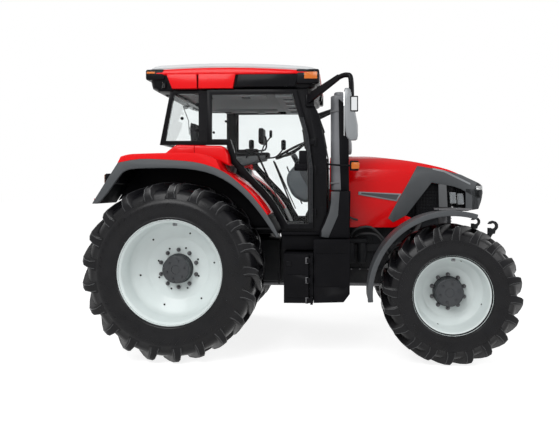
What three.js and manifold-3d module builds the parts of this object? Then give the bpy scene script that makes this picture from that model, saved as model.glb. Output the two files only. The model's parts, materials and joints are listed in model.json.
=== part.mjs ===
// Four-wheel-drive farm tractor with a glazed cab, a tilting hood, front and rear linkage.
// Millimetres, +X forward, +Y to the tractor's left, +Z up. Stations along X are measured forward
// of the rear axle. The finished group is moved so that its origin lies on the ground under the
// middle of the tractor. Paired pieces are drawn on the left side and mirrored to the right.
import * as THREE from 'three';
import { mergeVertices } from 'three/addons/utils/BufferGeometryUtils.js';
import Module from 'manifold-3d';

const wasm = await Module();
wasm.setup();

// ---- Driving dimensions -----------------------------------------------------------------------
const FIT = 0.3;               // between pieces that are bolted or seated together
const PIN_PLAY = 0.5;          // radial play of an eye on its pin
const OPEN_PLAY = 1.5;         // radial play at a pin where a closed linkage is opened
const SWING = 6;               // least gap between pieces that move past each other
const WELD = 0.001;
const ROUND = 24;              // facets around a wheel

const WHEELBASE = 2650;
const TRACK = 1800;
const REAR_WHEEL = {
  radius: 860, tyreWidth: 600, seatRadius: 483, flange: 24, rimWidth: 520,
  mountInset: 90, discRadius: 300, hubRadius: 160, hubReach: 130,
};
const FRONT_WHEEL = {
  radius: 660, tyreWidth: 480, seatRadius: 356, flange: 22, rimWidth: 420,
  mountInset: 70, discRadius: 235, hubRadius: 145, hubReach: 120,
};
const RIM_WALL = 12;
const DISC_CONE = 70;          // how far the disc leans outwards up to the rim
const TYRE_WALL = 34;

const SPINE_HALF = 190;        // half the width of the transmission and of the front support
const SPINE_BOTTOM = 640;
const HOUSING_REAR = -170;     // rear face of the rear axle housing
const HOUSING_FRONT = 250;
const HOUSING_TOP = 1140;
const GEARBOX_TOP = 1100;
const GEARBOX_FRONT = 1450;
const ENGINE_HALF = 250;
const ENGINE_FRONT = WHEELBASE - 300;
const ENGINE_TOP = 1650;
const SUPPORT_BOTTOM = 830;
const SUPPORT_TOP = 1150;
const SUPPORT_FRONT = WHEELBASE + 350;

const KINGPIN_Y = TRACK / 2 - 280;
const KINGPIN_RADIUS = 60;
const BEAM_HALF = 90;          // half the height of the front axle at its ends
const STEER_ARM = 230;         // kingpin axis to tie rod pin

const CAB_HALF = 780;          // outer face of the side frames
const CAB_FRAME = 40;          // thickness of the side frames
const CAB_FLOOR = 1240;        // top of the floor
const CAB_TOP = 2645;          // underside of the roof
const CAB_WAIST = 2092;        // top of the fender shoulder plus its seal
const CAB_NOSE = 1475;         // foot of the windscreen
const FLOOR_HALF = (TRACK - REAR_WHEEL.tyreWidth) / 2 - 40;    // between the rear fenders
const DECK_TOP = 1500;
const DOOR_THICK = 30;
const DOOR_LAP = 25;           // how far a door lies over its frame
const DOOR_RAIL = 46;          // width of the door frame around its glass
const GLASS = 8;
const ROOF_HALF = 850;
const ROOF_SPLIT = 2790;
const ROOF_REAR = -334;
const ROOF_NOSE = 1406;

const FENDER_HALF = (TRACK + REAR_WHEEL.tyreWidth) / 2 - 50;  // outer face of the fender lips
const FENDER_WALL = 25;
const FENDER_RADIUS = 1090;    // front arc, about the rear axle
const ARCH_RADIUS = 985;       // underside of the lip, about the rear axle
const FENDER_TOP = 1992;

const HOOD_HALF = 400;
const HOOD_NOSE_HALF = 300;
const HOOD_WALL = 22;
const HOOD_REAR = 1500;
const HOOD_HINGE = { x: 1515, z: 1950, pin: 12 };

const SIDE_BOX_OUT = 920;      // outer face of the boxes below the cab
const SIDE_BOX_IN = 430;

const LINK_Y = 330;            // rear lower links and lift arms
const LINK_THICK = 30;
const LIFT_PIVOT = { x: -215, z: 1150 };
const LINK_PIVOT = { x: -215, z: 600, pin: 20 };
const LIFT_ARM = 400;          // both arms of the parallelogram
const LINK_LENGTH = 790;
const LINK_PIN = 14;
const FRONT_LINK_PIVOT = { x: SUPPORT_FRONT + 75, z: 720, pin: 25 };
const FRONT_LINK_Y = 220;
const FRONT_HOOK_Y = 390;

// ---- Making and joining solids ----------------------------------------------------------------
function closed(geometry) {
  const bare = geometry.clone();
  bare.deleteAttribute('normal');
  bare.deleteAttribute('uv');
  const welded = mergeVertices(bare, WELD);
  const corner = (index) => new THREE.Vector3().fromBufferAttribute(welded.attributes.position, index);
  const faces = [];
  let volume = 0;
  for (let i = 0; i < welded.index.count; i += 3) {
    const [a, b, c] = [0, 1, 2].map((k) => welded.index.getX(i + k));
    if (a === b || b === c || c === a) continue;
    volume += corner(a).dot(corner(b).cross(corner(c)));
    faces.push([a, b, c]);
  }
  if (volume < 0) faces.forEach((face) => face.reverse());
  welded.clearGroups();
  welded.setIndex(faces.flat());
  return welded;
}

function solid(geometry) {
  const shell = closed(geometry);
  return new wasm.Manifold(new wasm.Mesh({
    numProp: 3,
    vertProperties: shell.attributes.position.array,
    triVerts: Uint32Array.from(shell.index.array),
  }));
}

function geometryOf(manifold) {
  const mesh = manifold.getMesh();
  const geometry = new THREE.BufferGeometry();
  geometry.setAttribute('position', new THREE.BufferAttribute(Float32Array.from(mesh.vertProperties), 3));
  geometry.setIndex(Array.from(mesh.triVerts));
  return geometry;
}

const join = (first, ...others) => geometryOf(others.reduce((sum, g) => sum.add(solid(g)), solid(first)));
const cut = (body, ...tools) => geometryOf(tools.reduce((rest, g) => rest.subtract(solid(g)), solid(body)));
const common = (first, ...others) =>
  geometryOf(others.reduce((all, g) => all.intersect(solid(g)), solid(first)));

function mirrored(geometry) {
  return closed(geometry.clone().scale(1, -1, 1));
}

// ---- Plain shapes -----------------------------------------------------------------------------
const outline = (points) => new THREE.Shape(points.map(([x, y]) => new THREE.Vector2(x, y)));
const extruded = (points, depth) => new THREE.ExtrudeGeometry(outline(points), { depth, bevelEnabled: false });

// An outline in X and Z, from y0 to y1.
function sidePlate(points, y0, y1) {
  return extruded(points, y1 - y0).rotateX(Math.PI / 2).translate(0, y1, 0);
}

// An outline in X and Y, from z0 to z1.
function floorPlate(points, z0, z1) {
  return extruded(points, z1 - z0).translate(0, 0, z0);
}

// An outline in Y and Z, from x0 to x1.
function crossPlate(points, x0, x1) {
  const axes = new THREE.Matrix4().makeBasis(
    new THREE.Vector3(0, 1, 0), new THREE.Vector3(0, 0, 1), new THREE.Vector3(1, 0, 0));
  return extruded(points, x1 - x0).applyMatrix4(axes).translate(x0, 0, 0);
}

function block([x0, x1], [y0, y1], [z0, z1]) {
  return new THREE.BoxGeometry(x1 - x0, y1 - y0, z1 - z0)
    .translate((x0 + x1) / 2, (y0 + y1) / 2, (z0 + z1) / 2);
}

// A round bar between two points.
const PIN_SIDES = 10;
function bar(from, to, radius, sides = PIN_SIDES, firstAngle = 0) {
  const start = new THREE.Vector3(...from);
  const along = new THREE.Vector3(...to).sub(start);
  const upright = new THREE.Vector3(0, 1, 0);
  const turn = new THREE.Quaternion().setFromUnitVectors(upright, along.clone().normalize());
  return new THREE.CylinderGeometry(radius, radius, along.length(), sides, 1, false, firstAngle)
    .applyQuaternion(turn).translate(...start.addScaledVector(along, 0.5).toArray());
}

// A bore for a pin: its flats face the corners of the pin and clear them, so the pin can turn in it.
const bore = (from, to, clear) =>
  bar(from, to, clear / Math.cos(Math.PI / PIN_SIDES), PIN_SIDES, Math.PI / PIN_SIDES);

// A round bar across the tractor, with its axis at (x, z).
const crossBar = ({ x, z }, y0, y1, radius, sides) => bar([x, y0, z], [x, y1, z], radius, sides);
const crossBore = ({ x, z }, y0, y1, clear) => bore([x, y0, z], [x, y1, z], clear);

function arc(x, z, radius, from, to, steps) {
  return Array.from({ length: steps + 1 }, (_, i) => {
    const angle = THREE.MathUtils.degToRad(from + (to - from) * i / steps);
    return [x + radius * Math.cos(angle), z + radius * Math.sin(angle)];
  });
}

const shrunk = (points, gap) => {
  const area = points.reduce((sum, [x, y], i) => {
    const [nx, ny] = points[(i + 1) % points.length];
    return sum + x * ny - nx * y;
  }, 0);
  const side = Math.sign(area);
  const inward = ([x0, y0], [x1, y1]) => {
    const length = Math.hypot(x1 - x0, y1 - y0);
    return [-(y1 - y0) / length * side, (x1 - x0) / length * side];
  };
  return points.map((point, i) => {
    const before = inward(points[(i + points.length - 1) % points.length], point);
    const after = inward(point, points[(i + 1) % points.length]);
    const scale = gap / (1 + before[0] * after[0] + before[1] * after[1]);
    return [point[0] + (before[0] + after[0]) * scale, point[1] + (before[1] + after[1]) * scale];
  });
};

// ---- Finishes ---------------------------------------------------------------------------------
const FINISH = {
  red: { color: 0xcc0a14, roughness: 0.3, metalness: 0 },
  plastic: { color: 0x3a3c3e, roughness: 0.6, metalness: 0 },
  black: { color: 0x17181a, roughness: 0.7, metalness: 0 },
  casting: { color: 0x2a2c2e, roughness: 0.55, metalness: 0.3 },
  rim: { color: 0xb9c1bf, roughness: 0.4, metalness: 0.2 },
  rubber: { color: 0x1b1b1c, roughness: 0.9, metalness: 0 },
  glass: { color: 0xbfd4dc, roughness: 0.05, metalness: 0 },
  cap: { color: 0xd6d8d8, roughness: 0.45, metalness: 0 },
  silver: { color: 0x8f9294, roughness: 0.4, metalness: 0.3 },
  trim: { color: 0x55585b, roughness: 0.7, metalness: 0 },
  fabric: { color: 0x26282a, roughness: 0.95, metalness: 0 },
};

const tractor = new THREE.Group();
function add(name, finish, geometry) {
  const mesh = new THREE.Mesh(closed(geometry), new THREE.MeshStandardMaterial(FINISH[finish]));
  mesh.name = name;
  tractor.add(mesh);
  return mesh;
}

function addPair(name, finish, left) {
  add(`${name}_left`, finish, left);
  add(`${name}_right`, finish, mirrored(left));
}

// ---- Wheels -----------------------------------------------------------------------------------
// A wheel is turned about its own Y, outer side at +Y, with a flat facet underneath.
function turned(profile) {
  const toVertex = 1 / Math.cos(Math.PI / ROUND);
  const points = profile.map(([r, y]) => new THREE.Vector2(r * toVertex, y));
  return new THREE.LatheGeometry(points, ROUND, Math.PI / ROUND);
}

function tyre(size) {
  const half = size.tyreWidth / 2;
  const bead = size.rimWidth / 2 - RIM_WALL - FIT;
  const seat = size.seatRadius + FIT;
  const rise = size.radius - size.seatRadius;
  const outer = [
    [seat + size.flange + 8, bead + 6], [seat + rise * 0.5, half], [size.radius - rise * 0.13, half - 18],
    [size.radius, half - 90],
  ];
  const inner = [[seat + rise * 0.5, half - TYRE_WALL], [size.radius - TYRE_WALL - 50, half - 80]];
  const profile = [
    [seat, bead], ...outer, ...outer.map(([r, y]) => [r, -y]).reverse(), [seat, -bead],
    [seat, -bead + TYRE_WALL], ...inner.map(([r, y]) => [r, -y]), ...inner.reverse(), [seat, bead - TYRE_WALL],
  ];
  return turned([...profile, profile[0]]);
}

function rim(size) {
  const edge = size.rimWidth / 2;
  const seat = size.seatRadius;
  const lip = seat + size.flange;
  const inside = seat - RIM_WALL;
  const disc = -size.mountInset;
  return turned([
    [0, disc + size.hubReach], [size.hubRadius, disc + size.hubReach], [size.hubRadius, disc + RIM_WALL],
    [size.discRadius, disc + RIM_WALL], [inside, disc + DISC_CONE + RIM_WALL], [inside, edge - RIM_WALL],
    [lip - 8, edge], [lip, edge - 6], [seat, edge - RIM_WALL], [seat, RIM_WALL - edge], [lip, 6 - edge],
    [lip - 8, -edge], [inside, RIM_WALL - edge], [inside, disc + DISC_CONE], [size.discRadius, disc],
    [0, disc],
  ]);
}

function addWheel(axle, side, size, x) {
  const turn = side === 'left' ? 0 : Math.PI;
  const y = side === 'left' ? TRACK / 2 : -TRACK / 2;
  for (const [name, finish, make] of [['tyre', 'rubber', tyre], ['rim', 'rim', rim]]) {
    const mesh = add(`${axle}_${name}_${side}`, finish, make(size));
    mesh.rotation.z = turn;
    mesh.position.set(x, y, size.radius);
  }
}

for (const side of ['right', 'left']) {
  addWheel('rear', side, REAR_WHEEL, 0);
  addWheel('front', side, FRONT_WHEEL, WHEELBASE);
}

// ---- Rear axle, transmission, engine ----------------------------------------------------------
const REAR_FLANGE_Y = TRACK / 2 - REAR_WHEEL.mountInset;
const TRUMPET_RADIUS = 125;
const AXLE_SHAFT_RADIUS = 60;
const LIFT_SHAFT_RADIUS = 35;
const EAR = { inner: 140, outer: 180 };

function rearAxle() {
  const centre = { x: 0, z: REAR_WHEEL.radius };
  const earEnd = LIFT_PIVOT.x - 50;
  const ear = sidePlate([
    [HOUSING_REAR + 20, LIFT_PIVOT.z - 70], [earEnd, LIFT_PIVOT.z - 40], [earEnd, LIFT_PIVOT.z + 50],
    [HOUSING_REAR + 20, LIFT_PIVOT.z + 50],
  ], EAR.inner, EAR.outer);
  const boreHalf = EAR.outer + 10;
  return cut(
    join(
      block([HOUSING_REAR, HOUSING_FRONT], [-SPINE_HALF, SPINE_HALF], [SPINE_BOTTOM, HOUSING_TOP]),
      crossBar(centre, SWING - REAR_FLANGE_Y, REAR_FLANGE_Y - SWING, TRUMPET_RADIUS, 16),
      crossBar(centre, FIT - REAR_FLANGE_Y, REAR_FLANGE_Y - FIT, AXLE_SHAFT_RADIUS),
      ear, mirrored(ear)),
    crossBore(LIFT_PIVOT, -boreHalf, boreHalf, LIFT_SHAFT_RADIUS + PIN_PLAY));
}
add('rear_axle', 'casting', rearAxle());

add('transmission', 'casting', sidePlate([
  [HOUSING_FRONT + FIT, SPINE_BOTTOM + 60], [HOUSING_FRONT + 200, SPINE_BOTTOM], [GEARBOX_FRONT, SPINE_BOTTOM],
  [GEARBOX_FRONT, GEARBOX_TOP], [HOUSING_FRONT + FIT, GEARBOX_TOP],
], -SPINE_HALF, SPINE_HALF));

const RADIATOR = { rear: ENGINE_FRONT + 70, front: ENGINE_FRONT + 430, half: 280, top: 1700 };
const HINGE_POST = { inner: 100, outer: 140 };

// The engine is one plain block, with the cooling pack ahead of it and the posts of the hood hinge.
function engine() {
  const post = sidePlate([
    [HOOD_HINGE.x - 25, ENGINE_TOP - 20], [HOOD_HINGE.x + 45, ENGINE_TOP - 20],
    [HOOD_HINGE.x + 20, HOOD_HINGE.z + 5], [HOOD_HINGE.x - 20, HOOD_HINGE.z + 5],
  ], HINGE_POST.inner, HINGE_POST.outer);
  return join(
    sidePlate([[GEARBOX_FRONT + FIT, SPINE_BOTTOM], [ENGINE_FRONT, SPINE_BOTTOM], [ENGINE_FRONT, ENGINE_TOP],
      [CAB_NOSE + 15, ENGINE_TOP], [CAB_NOSE + 15, SUPPORT_TOP], [GEARBOX_FRONT + FIT, SUPPORT_TOP]],
    -ENGINE_HALF, ENGINE_HALF),
    block([ENGINE_FRONT - 20, RADIATOR.rear + 20], [-200, 200], [SUPPORT_TOP + 60, ENGINE_TOP - 60]),
    block([RADIATOR.rear, RADIATOR.front], [-RADIATOR.half, RADIATOR.half], [SUPPORT_TOP + FIT, RADIATOR.top]),
    post, mirrored(post),
    crossBar(HOOD_HINGE, -HINGE_POST.outer - 50, HINGE_POST.outer + 50, HOOD_HINGE.pin));
}
add('engine', 'casting', engine());

add('front_support', 'casting', sidePlate([
  [ENGINE_FRONT + FIT, SUPPORT_BOTTOM], [SUPPORT_FRONT, SUPPORT_BOTTOM], [SUPPORT_FRONT, SUPPORT_TOP - 60],
  [SUPPORT_FRONT - 60, SUPPORT_TOP], [ENGINE_FRONT + FIT, SUPPORT_TOP],
], -SPINE_HALF, SPINE_HALF));

// ---- Front axle and steering ------------------------------------------------------------------
const FRONT_Z = FRONT_WHEEL.radius;
const FRONT_FLANGE_Y = TRACK / 2 - FRONT_WHEEL.mountInset;
const BEAM_DEPTH = 70;         // half of the beam, fore and aft
const FORK_THICK = 45;
const TIE_ROD = {
  low: FRONT_Z - BEAM_HALF - 12, high: FRONT_Z - BEAM_HALF + 18, radius: 14, eye: 30, pin: 12,
};

function frontAxle() {
  const boss = bar([WHEELBASE, KINGPIN_Y, FRONT_Z - BEAM_HALF], [WHEELBASE, KINGPIN_Y, FRONT_Z + BEAM_HALF],
    KINGPIN_RADIUS, 12);
  return join(
    block([WHEELBASE - BEAM_DEPTH, WHEELBASE + BEAM_DEPTH], [-KINGPIN_Y + 30, KINGPIN_Y - 30],
      [FRONT_Z - BEAM_HALF + 10, FRONT_Z + BEAM_HALF - 10]),
    block([WHEELBASE - 150, WHEELBASE + 150], [-150, 150], [FRONT_Z - 150, SUPPORT_BOTTOM - FIT]),
    boss, mirrored(boss));
}
add('front_axle', 'casting', frontAxle());

// Each knuckle clasps the end of the beam from above and below, and carries the wheel and its fender.
const FORK_TOP = FRONT_Z + BEAM_HALF + PIN_PLAY;
const FORK_BOTTOM = FRONT_Z - BEAM_HALF - PIN_PLAY;
const DRUM = { inner: KINGPIN_Y + 80, radius: 150 };

function knuckle() {
  const arm = [
    ...arc(WHEELBASE, KINGPIN_Y, KINGPIN_RADIUS, 180, 360, 8),
    [WHEELBASE + KINGPIN_RADIUS, DRUM.inner + 40], [WHEELBASE - KINGPIN_RADIUS, DRUM.inner + 40],
  ];
  const steerArm = [
    [WHEELBASE - 20, KINGPIN_Y - 30], [WHEELBASE - 20, KINGPIN_Y + 25],
    ...arc(WHEELBASE - STEER_ARM, KINGPIN_Y, TIE_ROD.eye, 90, 270, 8),
  ];
  const steerTop = TIE_ROD.low - FIT;
  const steerPin = [WHEELBASE - STEER_ARM, KINGPIN_Y];
  return join(
    floorPlate(arm, FORK_TOP, FORK_TOP + FORK_THICK),
    floorPlate(arm, FORK_BOTTOM - FORK_THICK, FORK_BOTTOM),
    bar([WHEELBASE, DRUM.inner, FRONT_Z], [WHEELBASE, FRONT_FLANGE_Y - FIT, FRONT_Z], DRUM.radius, 16),
    floorPlate(steerArm, FORK_BOTTOM - FORK_THICK, steerTop),
    bar([...steerPin, steerTop - 5], [...steerPin, TIE_ROD.high + 6], TIE_ROD.pin));
}
addPair('front_knuckle', 'casting', knuckle());

// The right-hand eye is the tie rod's joint, and the left-hand eye is where the linkage is opened.
function tieRod() {
  const x = WHEELBASE - STEER_ARM;
  const { low, high } = TIE_ROD;
  const middle = (low + high) / 2;
  const eye = (y) => bar([x, y, low], [x, y, high], TIE_ROD.eye);
  const pinBore = (y, play) => bore([x, y, low - 5], [x, y, high + 5], TIE_ROD.pin + play);
  return cut(
    join(eye(-KINGPIN_Y), eye(KINGPIN_Y), bar([x, 20 - KINGPIN_Y, middle], [x, KINGPIN_Y - 20, middle],
      TIE_ROD.radius)),
    pinBore(-KINGPIN_Y, PIN_PLAY), pinBore(KINGPIN_Y, OPEN_PLAY));
}
add('tie_rod', 'casting', tieRod());

// The front fender follows the tyre, on a bracket that rises inside the wheel.
const FRONT_FENDER = {
  inner: TRACK / 2 - 100, outer: TRACK / 2 + 220, radius: FRONT_WHEEL.radius + 130, wall: 14, lip: 62,
  from: 72, to: 186,
};

function frontFender() {
  const { inner, outer, radius, wall, lip, from, to } = FRONT_FENDER;
  const band = (depth) => [
    ...arc(WHEELBASE, FRONT_Z, radius, from, to, 14),
    ...arc(WHEELBASE, FRONT_Z, radius - depth, to, from, 14),
  ];
  const crown = FRONT_Z + radius;
  const bracket = [WHEELBASE - 90, WHEELBASE + 60];
  return join(
    sidePlate(band(wall), inner, outer),
    sidePlate(band(lip), outer - wall, outer),
    block(bracket, [KINGPIN_Y - 25, inner + 120], [crown - 6, crown + 12]),
    block(bracket, [KINGPIN_Y - 25, KINGPIN_Y + 5], [FORK_TOP + FORK_THICK + FIT, crown + 12]));
}
addPair('front_fender', 'plastic', frontFender());

// ---- Rear linkage -----------------------------------------------------------------------------
// Lift arm, lift rod, lower link and housing form a parallelogram on each side: the rod stays upright.
const LINK_IN = LINK_Y - LINK_THICK / 2;
const LINK_OUT = LINK_Y + LINK_THICK / 2;
const ROD = { inner: LINK_OUT + 5, thick: 28, eye: 32 };
ROD.outer = ROD.inner + ROD.thick;
const eyeOf = ({ x, z }, radius, y0, y1) => crossBar({ x, z }, y0, y1, radius);
const ARM_TIP = { x: LIFT_PIVOT.x - LIFT_ARM, z: LIFT_PIVOT.z };
const LINK_TIP = { x: LINK_PIVOT.x - LIFT_ARM, z: LINK_PIVOT.z };

function liftArms() {
  const { x, z } = LIFT_PIVOT;
  const arm = join(
    sidePlate([[x + 10, z - 45], [x + 10, z + 45], [ARM_TIP.x, z + 28], [ARM_TIP.x, z - 28]],
      LINK_IN, LINK_OUT),
    eyeOf(LIFT_PIVOT, 60, LINK_IN, LINK_OUT), eyeOf(ARM_TIP, 30, LINK_IN, LINK_OUT),
    eyeOf(ARM_TIP, LINK_PIN, LINK_IN, ROD.outer + 8));
  return join(crossBar(LIFT_PIVOT, -LINK_Y, LINK_Y, LIFT_SHAFT_RADIUS), arm, mirrored(arm));
}
add('lift_arms', 'casting', liftArms());

function liftRod() {
  const { x } = ARM_TIP;
  const middle = ROD.inner + ROD.thick / 2;
  return cut(
    join(
      eyeOf(ARM_TIP, ROD.eye, ROD.inner, ROD.outer), eyeOf(LINK_TIP, ROD.eye, ROD.inner, ROD.outer),
      bar([x, middle, LINK_TIP.z + 20], [x, middle, ARM_TIP.z - 20], 13),
      bar([x, middle, LINK_TIP.z + 140], [x, middle, ARM_TIP.z - 130], 22)),
    crossBore(ARM_TIP, ROD.inner - 5, ROD.outer + 5, LINK_PIN + PIN_PLAY),
    crossBore(LINK_TIP, ROD.inner - 5, ROD.outer + 5, LINK_PIN + OPEN_PLAY));
}
addPair('lift_rod', 'casting', liftRod());

const HOOK_BALL = 45;
const LINK_END = LINK_PIVOT.x - LINK_LENGTH;

// A lower link with its eye at the tractor and its open hook at the implement end.
function lowerLink() {
  const { x, z } = LINK_PIVOT;
  const hook = { x: LINK_END, z: z + 8 };
  return cut(
    join(
      sidePlate([[x, z - 32], [x, z + 32], [LINK_END, z + 40], [LINK_END, z - 38]], LINK_IN, LINK_OUT),
      eyeOf(LINK_PIVOT, 42, LINK_IN, LINK_OUT), eyeOf(hook, HOOK_BALL, LINK_IN, LINK_OUT),
      eyeOf(LINK_TIP, 42, LINK_IN, LINK_OUT), eyeOf(LINK_TIP, LINK_PIN, LINK_IN, ROD.outer + 8)),
    crossBore(LINK_PIVOT, LINK_IN - 5, LINK_OUT + 5, LINK_PIVOT.pin + PIN_PLAY),
    eyeOf(hook, 26, LINK_IN - 5, LINK_OUT + 5),
    block([LINK_END - 22, LINK_END + 22], [LINK_IN - 5, LINK_OUT + 5], [hook.z, hook.z + 80]));
}
addPair('lower_link', 'casting', lowerLink());

const TOP_LINK = { x: -295, z: 900, y: 26, length: 560, lean: 20, pin: 15 };

// Brackets behind the axle housing: pins of the lower links, ears of the top link, and the drawbar.
function rearHitch() {
  const face = HOUSING_REAR - FIT;
  const cheek = sidePlate([
    [face, LINK_PIVOT.z + 170], [face, LINK_PIVOT.z - 100], [LINK_PIVOT.x - 45, LINK_PIVOT.z - 60],
    [LINK_PIVOT.x - 45, LINK_PIVOT.z + 60],
  ], 150, 185);
  const ear = sidePlate([
    [face, TOP_LINK.z - 70], [TOP_LINK.x - 35, TOP_LINK.z - 25], [TOP_LINK.x - 35, TOP_LINK.z + 30],
    [face, TOP_LINK.z + 60],
  ], TOP_LINK.y + 4, TOP_LINK.y + 24);
  return join(
    block([face - 30, face], [-185, 185], [LINK_PIVOT.z - 100, TOP_LINK.z + 60]),
    cheek, mirrored(cheek), ear, mirrored(ear),
    crossBar(LINK_PIVOT, -LINK_OUT - 12, LINK_OUT + 12, LINK_PIVOT.pin),
    crossBar(TOP_LINK, -TOP_LINK.y - 24, TOP_LINK.y + 24, TOP_LINK.pin),
    block([-560, face - 10], [-45, 45], [470, 500]),
    block([-560, -520], [-45, 45], [470, 560]),
    block([face - 30, face], [-90, 90], [470, LINK_PIVOT.z - 60]),
    bar([face - 110, 0, 700], [face - 10, 0, 700], 22, 16));
}
add('rear_hitch', 'casting', rearHitch());

// The top link stands folded up behind the cab.
function topLink() {
  const { x, z, y, length, lean, pin } = TOP_LINK;
  const tip = { x: x + lean, z: z + length };
  return cut(
    join(
      eyeOf(TOP_LINK, 32, -y, y), eyeOf(tip, 32, -y, y),
      bar([x, 0, z], [tip.x, 0, tip.z], 15),
      bar([x + lean / 4, 0, z + length / 4], [x + lean * 3 / 4, 0, z + length * 3 / 4], 24)),
    crossBore(TOP_LINK, -y - 5, y + 5, pin + PIN_PLAY), eyeOf(tip, 13, -y - 5, y + 5));
}
add('top_link', 'casting', topLink());

// ---- Front linkage ----------------------------------------------------------------------------
function frontLinkage() {
  const { x, z, pin } = FRONT_LINK_PIVOT;
  const face = SUPPORT_FRONT + FIT;
  const lug = sidePlate([[face, z - 90], [x + 30, z - 40], [x + 30, z + 40], [face, z + 110]], 120, 160);
  return cut(
    join(block([face, face + 35], [-SPINE_HALF, SPINE_HALF], [z - 90, SUPPORT_TOP - 70]), lug, mirrored(lug)),
    crossBore(FRONT_LINK_PIVOT, -170, 170, pin + PIN_PLAY));
}
add('front_linkage', 'casting', frontLinkage());

// Both front links on their cross shaft, folded up. They stay between the steered wheels at the foot
// and spread to the width of the hooks above them.
function frontLinks() {
  const { x, z, pin } = FRONT_LINK_PIVOT;
  const elbow = { x: x + 35, z: z + 285 };
  const hook = { x: x + 118, z: z + 545 };
  const half = 18;
  const footSides = [FRONT_LINK_Y - half, FRONT_LINK_Y + half];
  const clawSides = [FRONT_HOOK_Y - half, FRONT_HOOK_Y + half];
  const through = [FRONT_HOOK_Y - half - 12, FRONT_HOOK_Y + half + 12];
  const foot = sidePlate([[x - 36, z], [x + 36, z], [elbow.x + 34, elbow.z], [elbow.x - 34, elbow.z]],
    ...footSides);
  const wrist = sidePlate([[hook.x - 50, hook.z - 90], [hook.x + 20, hook.z - 80], [hook.x + 40, hook.z],
    [hook.x - 50, hook.z]], ...clawSides);
  const claw = cut(
    join(eyeOf(hook, 56, ...clawSides), wrist),
    eyeOf(hook, 28, ...through), block([hook.x - 90, hook.x], through, [hook.z - 20, hook.z + 20]));
  const arm = join(
    foot, eyeOf(FRONT_LINK_PIVOT, 42, ...footSides), claw,
    bar([elbow.x, FRONT_LINK_Y, elbow.z - 10], [hook.x - 18, FRONT_HOOK_Y, hook.z - 70], 26));
  return join(crossBar(FRONT_LINK_PIVOT, -FRONT_LINK_Y, FRONT_LINK_Y, pin), arm, mirrored(arm));
}
add('front_links', 'casting', frontLinks());

// ---- Boxes below the cab ----------------------------------------------------------------------
const BOX_REAR = 1060;
const BOX_SPLIT = 1345;
const BOX_FRONT = 1700;
const BOX_BOTTOM = 545;
const STEP_REACH = 130;

// Fuel tank on the left, hung from the transmission, with the ladder to the cab on its outer face.
function fuelTank() {
  const out = SIDE_BOX_OUT + STEP_REACH;
  const tread = (z) => block([BOX_REAR + 20, BOX_REAR + 280], [SIDE_BOX_OUT - 20, out], [z, z + 30]);
  const stringer = (x) => block([x, x + 14], [SIDE_BOX_OUT - 5, out], [BOX_BOTTOM, 1110]);
  return join(
    sidePlate([[BOX_REAR, BOX_BOTTOM], [BOX_FRONT - 60, BOX_BOTTOM], [BOX_FRONT, BOX_BOTTOM + 90],
      [BOX_FRONT, 1120], [BOX_REAR, 1120]], SIDE_BOX_IN, SIDE_BOX_OUT),
    block([1300, 1400], [SPINE_HALF + FIT, SIDE_BOX_IN + 10], [700, 780]),
    tread(BOX_BOTTOM), tread(BOX_BOTTOM + 270), tread(BOX_BOTTOM + 535),
    stringer(BOX_REAR + 10), stringer(BOX_REAR + 272));
}
add('fuel_tank', 'plastic', fuelTank());

const BOX_HINGE = {
  x: BOX_SPLIT - 12, y: -(SIDE_BOX_OUT + 38), radius: 10, heights: [575, 770, 960], half: 24,
};
const BOX_TOP = 1025;
const BOX_WALL = 30;

// A barrel on the moving piece between two lugs on the fixed one, about an upright axis.
const barrel = ({ x, y, radius, half }, z) => bar([x, y, z - half], [x, y, z + half], radius);
const lugsOf = ({ x, y, radius, half }, z, from, ySpan) => [-1, 1].map((end) => {
  const near = z + end * (half + FIT);
  const far = near + end * 14;
  const xSpan = [Math.min(from, x - radius), Math.max(from, x + radius)];
  return block(xSpan, ySpan, [Math.min(near, far), Math.max(near, far)]);
});

function toolbox() {
  const lugs = BOX_HINGE.heights.flatMap((z) =>
    lugsOf(BOX_HINGE, z, BOX_SPLIT - 25, [BOX_HINGE.y - BOX_HINGE.radius, 10 - SIDE_BOX_OUT]));
  const shell = cut(
    block([BOX_REAR, BOX_SPLIT], [-SIDE_BOX_OUT, -SIDE_BOX_IN], [BOX_BOTTOM, BOX_TOP]),
    block([BOX_REAR + BOX_WALL, BOX_SPLIT - BOX_WALL - 10], [-SIDE_BOX_OUT - 10, -SIDE_BOX_IN - BOX_WALL],
      [BOX_BOTTOM + BOX_WALL, BOX_TOP - BOX_WALL]));
  return join(shell, ...lugs,
    block([BOX_REAR + 90, BOX_REAR + 190], [-SIDE_BOX_IN - 10, -SPINE_HALF - FIT], [700, 780]));
}
add('toolbox', 'plastic', toolbox());

function toolboxDoor() {
  const inner = -SIDE_BOX_OUT - SWING;
  const leaves = BOX_HINGE.heights.flatMap((z) => [
    barrel(BOX_HINGE, z),
    block([BOX_SPLIT - 60, BOX_HINGE.x], [BOX_HINGE.y - 5, inner - 12],
      [z - BOX_HINGE.half, z + BOX_HINGE.half]),
  ]);
  return join(
    block([BOX_REAR + 4, BOX_SPLIT - 44], [inner - 26, inner], [BOX_BOTTOM + 4, BOX_TOP - 4]), ...leaves);
}
add('toolbox_door', 'plastic', toolboxDoor());

const STACK = { rear: 1512, front: 1690, inner: 545, outer: 705, bottom: 1632, top: 2630 };

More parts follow.
